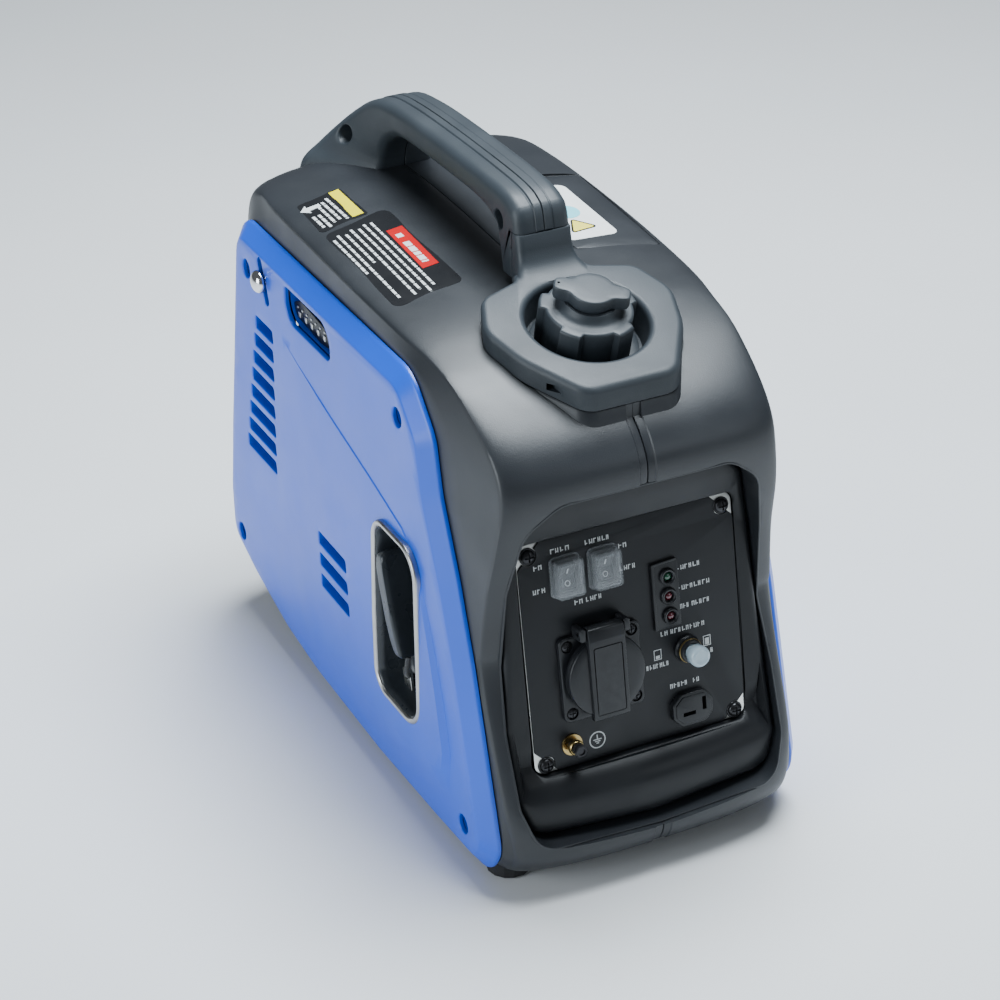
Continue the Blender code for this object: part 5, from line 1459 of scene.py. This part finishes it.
def ac_socket():
    """A square flange, a round collar and a spring lid with a raised strap over it."""
    x, y = SOCKET
    flange = soft_prism(rounded_box(x - 28, x + 28, y - 28, y + 28, 4, 6), 1.0, 4.2, PANEL, 0.8)
    collar = turned([(25.4, 3.6), (25.4, 7.6), (24.8, 8.4), (24.0, 8.7)], 64, PANEL, SOCKET)
    lugs = [soft_prism(rounded_box(x + side * 15.2 - 2.2, x + side * 15.2 + 2.2, y + 26.6, y + 35, 1.4, 4),
                       2.0, 13.4, PANEL, 0.8) for side in (-1, 1)]
    screws = [(x + side * 22.4, y + up * 22.4) for side in (-1, 1) for up in (-1, 1)]
    body = combined(combined(flange, [collar], "UNION"), [
        turned([(19.0, -12), (19.0, 12)], 48, PANEL, SOCKET),
        *[turned([(4.0, 2.4), (4.0, 3.6), (4.4, 6)], 28, PANEL, spot) for spot in screws],
    ])
    liner = turned([(19.0, -11.5), (19.0, 8.5), (20.5, 8.5), (20.5, -12.5)], 48, PANEL, SOCKET, capped=False)
    floor = combined(turned([(19.6, -13), (19.6, -11.5)], 48, PANEL, SOCKET),
                     [turned([(2.6, -24), (2.6, 0)], 24, PANEL, (x + pin, y)) for pin in (-9.5, 9.5)])
    body = joined([body, liner, floor, *lugs])
    piece("ac_socket_body", body, "switch_black", replaces=["ac_socket_base"], sharp=40)
    heads = [screw_head(PANEL, spot, 2.4, 3.6, 2.0) for spot in screws]
    piece("ac_socket_screws", joined(heads), "black_steel", sharp=40)
    hinge = (y + 31.0, 9.3)
    pin = turned([(1.2, x - 17.4), (1.45, x - 17.1), (1.45, x + 17.1), (1.2, x + 17.4)], 24, CROSSWISE, hinge)
    piece("ac_socket_pin", pin, "steel", replaces=["ac_socket_hinge_pin"])
    disc = [(26.2, 9.0), (26.5, 9.4), (26.5, 10.8), (26.0, 11.7), (24.6, 12.2), (20, 12.5), (8, 12.8)]
    disc = turned(disc, 72, PANEL, SOCKET)
    strap = rounded([
        (y - 27.4, 9.4, 0.5), (y - 27.4, 14.0, 1.2), (y - 20, 14.6, 6), (y + 26, 15.2, 8),
        (y + 33.4, 14.4, 2.6), (y + 35.4, 10.5, 2.2), (y + 34.4, 7.2, 1.0), (y + 28, 6.2, 0.8),
        (y + 27.4, 9.4, 0.6),
    ], 5)
    ends = [(0.7, -12.6), (0.2, -12.3), (0.0, -11.7), (0.0, 11.7), (0.2, 12.3), (0.7, 12.6)]
    strap = stack([(inset(strap, inward), x + across) for inward, across in ends], CROSSWISE)
    groove = sleeve(rounded_box(x - 9.4, x + 9.4, y - 23.5, y + 21, 0.8, 3), 0.7, 13.9, 18, PANEL)
    lid = joined([disc, combined(strap, [groove])])
    piece("ac_socket_lid_disc", lid, "switch_black", "socket_lid", ["ac_socket_lid"], sharp=38)


def breaker():
    """The breaker's bezel with its brass band, and its push button."""
    bezel = [
        (6.0, 0.9), (8.9, 0.9), (9.0, 2.8), (8.3, 3.6), (7.8, 4.4), (7.7, 7.6), (7.2, 8.6), (6.2, 9.0),
        (5.4, 8.7), (5.2, 8.0), (5.2, -4.0), (6.0, -4.0),
    ]
    bezel = turned(bezel, 48, PANEL, BREAKER, capped=False)
    piece("breaker_ring", bezel, "switch_black", replaces=["breaker_collar"], sharp=40)
    band = [(7.75, 5.2), (8.05, 5.4), (8.05, 6.6), (7.75, 6.8)]
    piece("breaker_band", turned(band, 48, PANEL, BREAKER, capped=False), "brass", sharp=40)
    button = [
        (4.8, 1.2), (4.8, 12.0), (6.4, 12.2), (6.8, 12.8), (6.85, 17.6), (6.6, 18.9), (5.9, 19.8),
        (4.6, 20.25), (4.2, 20.0), (1.0, 20.1),
    ]
    button = turned(button, 48, PANEL, BREAKER)
    piece("breaker_button_cap", button, "white_button", "breaker_button", ["breaker_button"], sharp=40)


def dc_outlet():
    """A flat socket with cut corners and two crossed slots."""
    u, v = OUTLET
    face = rounded([
        (u - 14, v + 5, 3), (u - 8, v + 11, 3), (u + 9, v + 11, 5), (u + 14.5, v + 4, 6),
        (u + 14.5, v - 5, 6), (u + 9, v - 11, 5), (u - 8, v - 11, 3), (u - 14, v - 5, 3),
    ], 6)
    rim = soft_prism(face, 1.0, 5.0, PANEL, 0.6)
    raised = soft_prism(inset(face, 1.9), 4.8, 5.6, PANEL, 0.3)
    slots = [
        prism(rectangle(u - 7.5, u + 1.5, v - 4.0, v - 1.4), -12, 8, PANEL),
        prism(rectangle(u + 6.5, u + 9.3, v - 2.5, v + 6.5), -12, 8, PANEL),
    ]
    outlet = combined(combined(rim, [raised], "UNION"), slots)
    piece("dc_outlet_face", outlet, "switch_black", replaces=["dc_outlet"], sharp=40)


def earth_stud():
    """A hollow-headed bolt in a brass nut, with a washer below the nut and a collar above it."""
    hexagon = rounded([(x, y, 0.4) for x, y in circle(4.5, 6, STUD)], 3)
    shank = turned([(3.0, -14), (3.0, 10.6)], 24, PANEL, STUD)
    head = stack([(hexagon, 10.0), (hexagon, 14.0), (inset(hexagon, 0.7), 14.6)], PANEL)
    head = combined(head, [turned([(2.4, 13.6), (2.9, 18)], 24, PANEL, STUD)])
    piece("ground_bolt", joined([shank, head]), "black_steel", replaces=["ground_stud"], sharp=40)
    nut = rounded([(x, y, 0.5) for x, y in circle(6.4, 6, STUD)], 3)
    flats = stack([(nut, 2.2), (nut, 5.6), (inset(nut, 0.6), 6.2)], PANEL)
    flats = combined(flats, [turned([(3.2, 0), (3.2, 9)], 24, PANEL, STUD)])
    washer = [(6.9, 1.0), (7.1, 1.4), (6.9, 2.2), (3.2, 2.2), (3.2, 1.0)]
    washer = turned(washer, 40, PANEL, STUD, capped=False)
    collar = [(5.0, 6.0), (5.0, 8.0), (4.5, 8.6), (3.2, 8.6), (3.2, 6.0)]
    collar = turned(collar, 32, PANEL, STUD, capped=False)
    piece("ground_nut_stack", joined([washer, flats, collar]), "brass", replaces=["ground_nut"], sharp=40)


# Printed marks. Words are shown as rows of plain strokes.

WHITE_INK = printed("white_ink", (0.62, 0.64, 0.64), 0.45)


def word_blocks(centre, width, height, count, base=0.9):
    """A word on the panel as a row of plain strokes of varied heights, `count` letters long."""
    blocks = []
    pitch = width / count
    left = centre[0] - width / 2
    low = centre[1] - height / 2
    stroke = min(0.62, pitch * 0.26)
    for k in range(count):
        u = left + pitch * k
        reach = pitch * (0.66 + 0.12 * math.sin(2.4 * k + width))
        blocks.append(prism(rectangle(u, u + stroke, low, low + height), base, base + 0.12, PANEL))
        bar = low + (height - stroke) * (0.5 + 0.5 * math.sin(1.9 * k + 2 * width))
        blocks.append(prism(rectangle(u, u + reach, bar, bar + stroke), base, base + 0.11, PANEL))
        if (k + count) % 2:
            edge = u + reach
            blocks.append(prism(rectangle(edge - stroke, edge, low, low + height), base, base + 0.1, PANEL))
    return blocks


# Each word on the panel: centre (u, v), width and letters.
PANEL_WORDS = [
    ((-45.3, -0.6), 13.5, 4), ((-19.6, -0.6), 17.6, 6), ((-61.0, -8.7), 6.4, 2), ((-61.5, -24.0), 9.0, 3),
    ((-2.8, -8.6), 6.4, 2), ((-0.4, -23.6), 11.5, 4), ((-35.5, -37.5), 6.4, 2), ((-25.0, -37.5), 11.5, 4),
    ((41.6, -33.4), 17.5, 6), ((44.4, -46.9), 23.5, 8), ((37.0, -59.2), 7.0, 3), ((48.6, -59.2), 13.5, 5),
    ((21.3, -74.2), 5.5, 2), ((38.0, -74.2), 25.0, 9), ((15.1, -94.4), 16.5, 7), ((51.5, -94.0), 7.5, 3),
    ((29.0, -111.0), 13.0, 5), ((41.3, -111.0), 4.8, 2),
]
WORD_HEIGHT = 3.1
EARTH = (-31.1, -132.2)


def panel_marks():
    marks = []
    for centre, width, count in PANEL_WORDS:
        marks += word_blocks(centre, width, WORD_HEIGHT, count)
    u, v = EARTH
    marks.append(sleeve(circle(4.9, 48, EARTH), 0.8, 0.9, 1.02, PANEL))
    marks.append(prism(around((u, v + 1.9), 0.35, 1.6), 0.9, 1.02, PANEL))
    for row, half in enumerate((2.9, 1.9, 0.9)):
        marks.append(prism(around((u, v + 0.3 - 1.25 * row), half, 0.34), 0.9, 1.02, PANEL))
    for (u, v), solid in (((15.4, -87.2), 0.4), ((50.8, -86.8), 0.85)):
        marks.append(sleeve(rectangle(u - 2.2, u + 2.2, v - 3.0, v + 3.0), 0.5, 0.9, 1.02, PANEL))
        marks.append(prism(rectangle(u - 1.4, u + 1.4, v - 2.6, v - 2.6 + 5.2 * solid), 0.9, 1.0, PANEL))
    piece("panel_marks", joined(marks), "panel_black", material=WHITE_INK)


def text_rows(rows, tree, height):
    """Rows of word-long bars that run towards the front, laid on the roof: (x, rear y, front y)."""
    bars = []
    for x, rear, front in rows:
        y = rear
        word = 0
        while y > front:
            length = 3.6 + 3.4 * abs(math.sin(2.1 * word + x))
            end = max(front, y - length)
            outline = [(x, end), (x + height, end), (x + height, y), (x, y)]
            bars.append(laid(outline, tree, UPRIGHT, 0.42))
            y = end - 1.2
            word += 1
    return joined(bars)


LEFT_LABEL = [(-92, 64, 6), (-92, -46, 6), (-41.5, -37, 6), (-42.5, 77, 6)]
SMALL_LABEL = [(-92, 68, 3), (-55.5, 75.5, 3), (-55.5, 123, 3), (-90, 114, 3)]
LEFT_TEXT = [
    (-61, 62, -33), (-66, 62, -40), (-71, 58, -34), (-76, 60, -38), (-81, 56, 12), (-86, 58, -36),
    (-90.4, 54, 2),
]
SMALL_TEXT = [(-71, 112, 76), (-75.5, 108, 78), (-80, 106, 76), (-84.5, 92, 72), (-88.6, 92, 74)]
RIGHT_LABEL = [(41.8, -18, 6), (79, -18, 6), (79, 62, 6), (41.8, 62, 6)]


def roof_labels():
    """Stickers on the roof, with plain shapes and bars in place of their words and pictures."""
    left = SURFACES["left_shell"]
    right = SURFACES["right_shell"]
    dark = printed("label_dark", (0.012, 0.0125, 0.014), 0.3)
    sheets = [laid(rounded(outline, 6), left, UPRIGHT, 0.22) for outline in (LEFT_LABEL, SMALL_LABEL)]
    piece("roof_label_left", joined(sheets), "panel_black", material=dark)
    red = laid([(-56.5, 46), (-57.5, -11), (-45.5, -9), (-44.5, 48)], left, UPRIGHT, 0.42)
    piece("roof_label_red", red, "red_lens", material=printed("label_red", (0.42, 0.001, 0.003), 0.5))
    yellow = laid([(-66.5, 76), (-58, 77.5), (-57, 121), (-65, 119)], left, UPRIGHT, 0.42)
    piece("roof_label_yellow", yellow, "brass", material=printed("label_yellow", (0.72, 0.62, 0.003), 0.5))
    rows = text_rows(LEFT_TEXT, left, 1.7)
    small = text_rows(SMALL_TEXT, left, 2.0)
    arrow = laid([(-91.5, 104), (-86, 98), (-86, 101.5), (-77, 103), (-77, 107.5), (-86, 106.5), (-86, 110)],
                 left, UPRIGHT, 0.42)
    blank = laid([(-54, 38), (-54, 33), (-49.5, 33.6), (-49.5, 38.6)], left, UPRIGHT, 0.62)
    bar = text_rows([(-54.3, 26, -4)], left, 4.6)
    piece("roof_label_print", joined([rows, small, arrow, blank]), "panel_black", material=WHITE_INK)
    bmesh.ops.translate(bar, vec=(0, 0, 0.2), verts=bar.verts)
    piece("roof_label_red_print", bar, "panel_black", material=WHITE_INK)
    white = laid(rounded(RIGHT_LABEL, 6), right, UPRIGHT, 0.22)
    paint = printed("label_white", (0.74, 0.75, 0.74))
    piece("roof_label_right", white, "ceramic", "plug_cover", material=paint)
    ring = sleeve_on(circle(7.0, 40, (60, 44)), 2.0, right)
    paint = printed("label_ring", (0.5, 0.06, 0.07))
    piece("roof_label_ring", ring, "red_lens", "plug_cover", material=paint)
    disc = laid(circle(9.6, 40, (60, 21)), right, UPRIGHT, 0.42)
    paint = printed("label_disc", (0.2, 0.62, 0.72))
    piece("roof_label_disc", disc, "cover_blue", "plug_cover", material=paint)
    edge = laid(rounded([(49, -9, 2), (70.5, -5, 2), (58, 10.5, 2)], 5), right, UPRIGHT, 0.42)
    piece("roof_label_triangle_edge", edge, "panel_black", "plug_cover", material=dark)
    inner = laid(rounded([(51, -7.8, 1), (68, -4.6, 1), (58, 8, 1)], 5), right, UPRIGHT, 0.62)
    paint = printed("label_sun", (0.78, 0.68, 0.12))
    piece("roof_label_triangle", inner, "brass", "plug_cover", material=paint)


def sleeve_on(outline, thickness, tree):
    """A flat ring laid on the roof."""
    outer = inset(outline, -thickness)
    rings = []
    for ring, lift in ((outline, 0.25), (outline, 0.42), (outer, 0.42), (outer, 0.25)):
        heights = depths_on(tree, UPRIGHT, ring)
        rings.append([Vector((x, y, h + lift)) for (x, y), h in zip(ring, heights)])
    return loft(rings, capped=False)


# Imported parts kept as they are

SOFTENED = {
    "rear_grille": 0.7, "base_tray": 0.8, "foot_front_left": 0.8, "foot_front_right": 0.8,
    "foot_rear_left": 0.8, "foot_rear_right": 0.8,
}


def slot_of(node):
    return node.data.materials[0].name.split(".")[0]


def finish_kept():
    """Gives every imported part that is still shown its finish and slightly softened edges."""
    for name, node in NODES.items():
        if node.hide_render:
            continue
        slot = slot_of(node)
        node.data.materials[0] = FINISHES[slot]
        if name in SOFTENED:
            edge = node.modifiers.new("Bevel", "BEVEL")
            edge.width = SOFTENED[name] * MM
            edge.segments = 3
            edge.limit_method = "ANGLE"
            edge.angle_limit = math.radians(40)


def build():
    shells()
    plug_access_cover()
    side_covers()
    cover_screws()
    choke()
    legend_plate()
    starter_recess()
    starter_grip()
    starter_rope()
    rope_guide()
    handle_halves()
    fuel_collar()
    fuel_cap()
    front_frame()
    panel_plates()
    panel_screws()
    switches()
    lamps()
    ac_socket()
    breaker()
    dc_outlet()
    earth_stud()
    panel_marks()
    roof_labels()


camera()
studio()
build()
finish_kept()
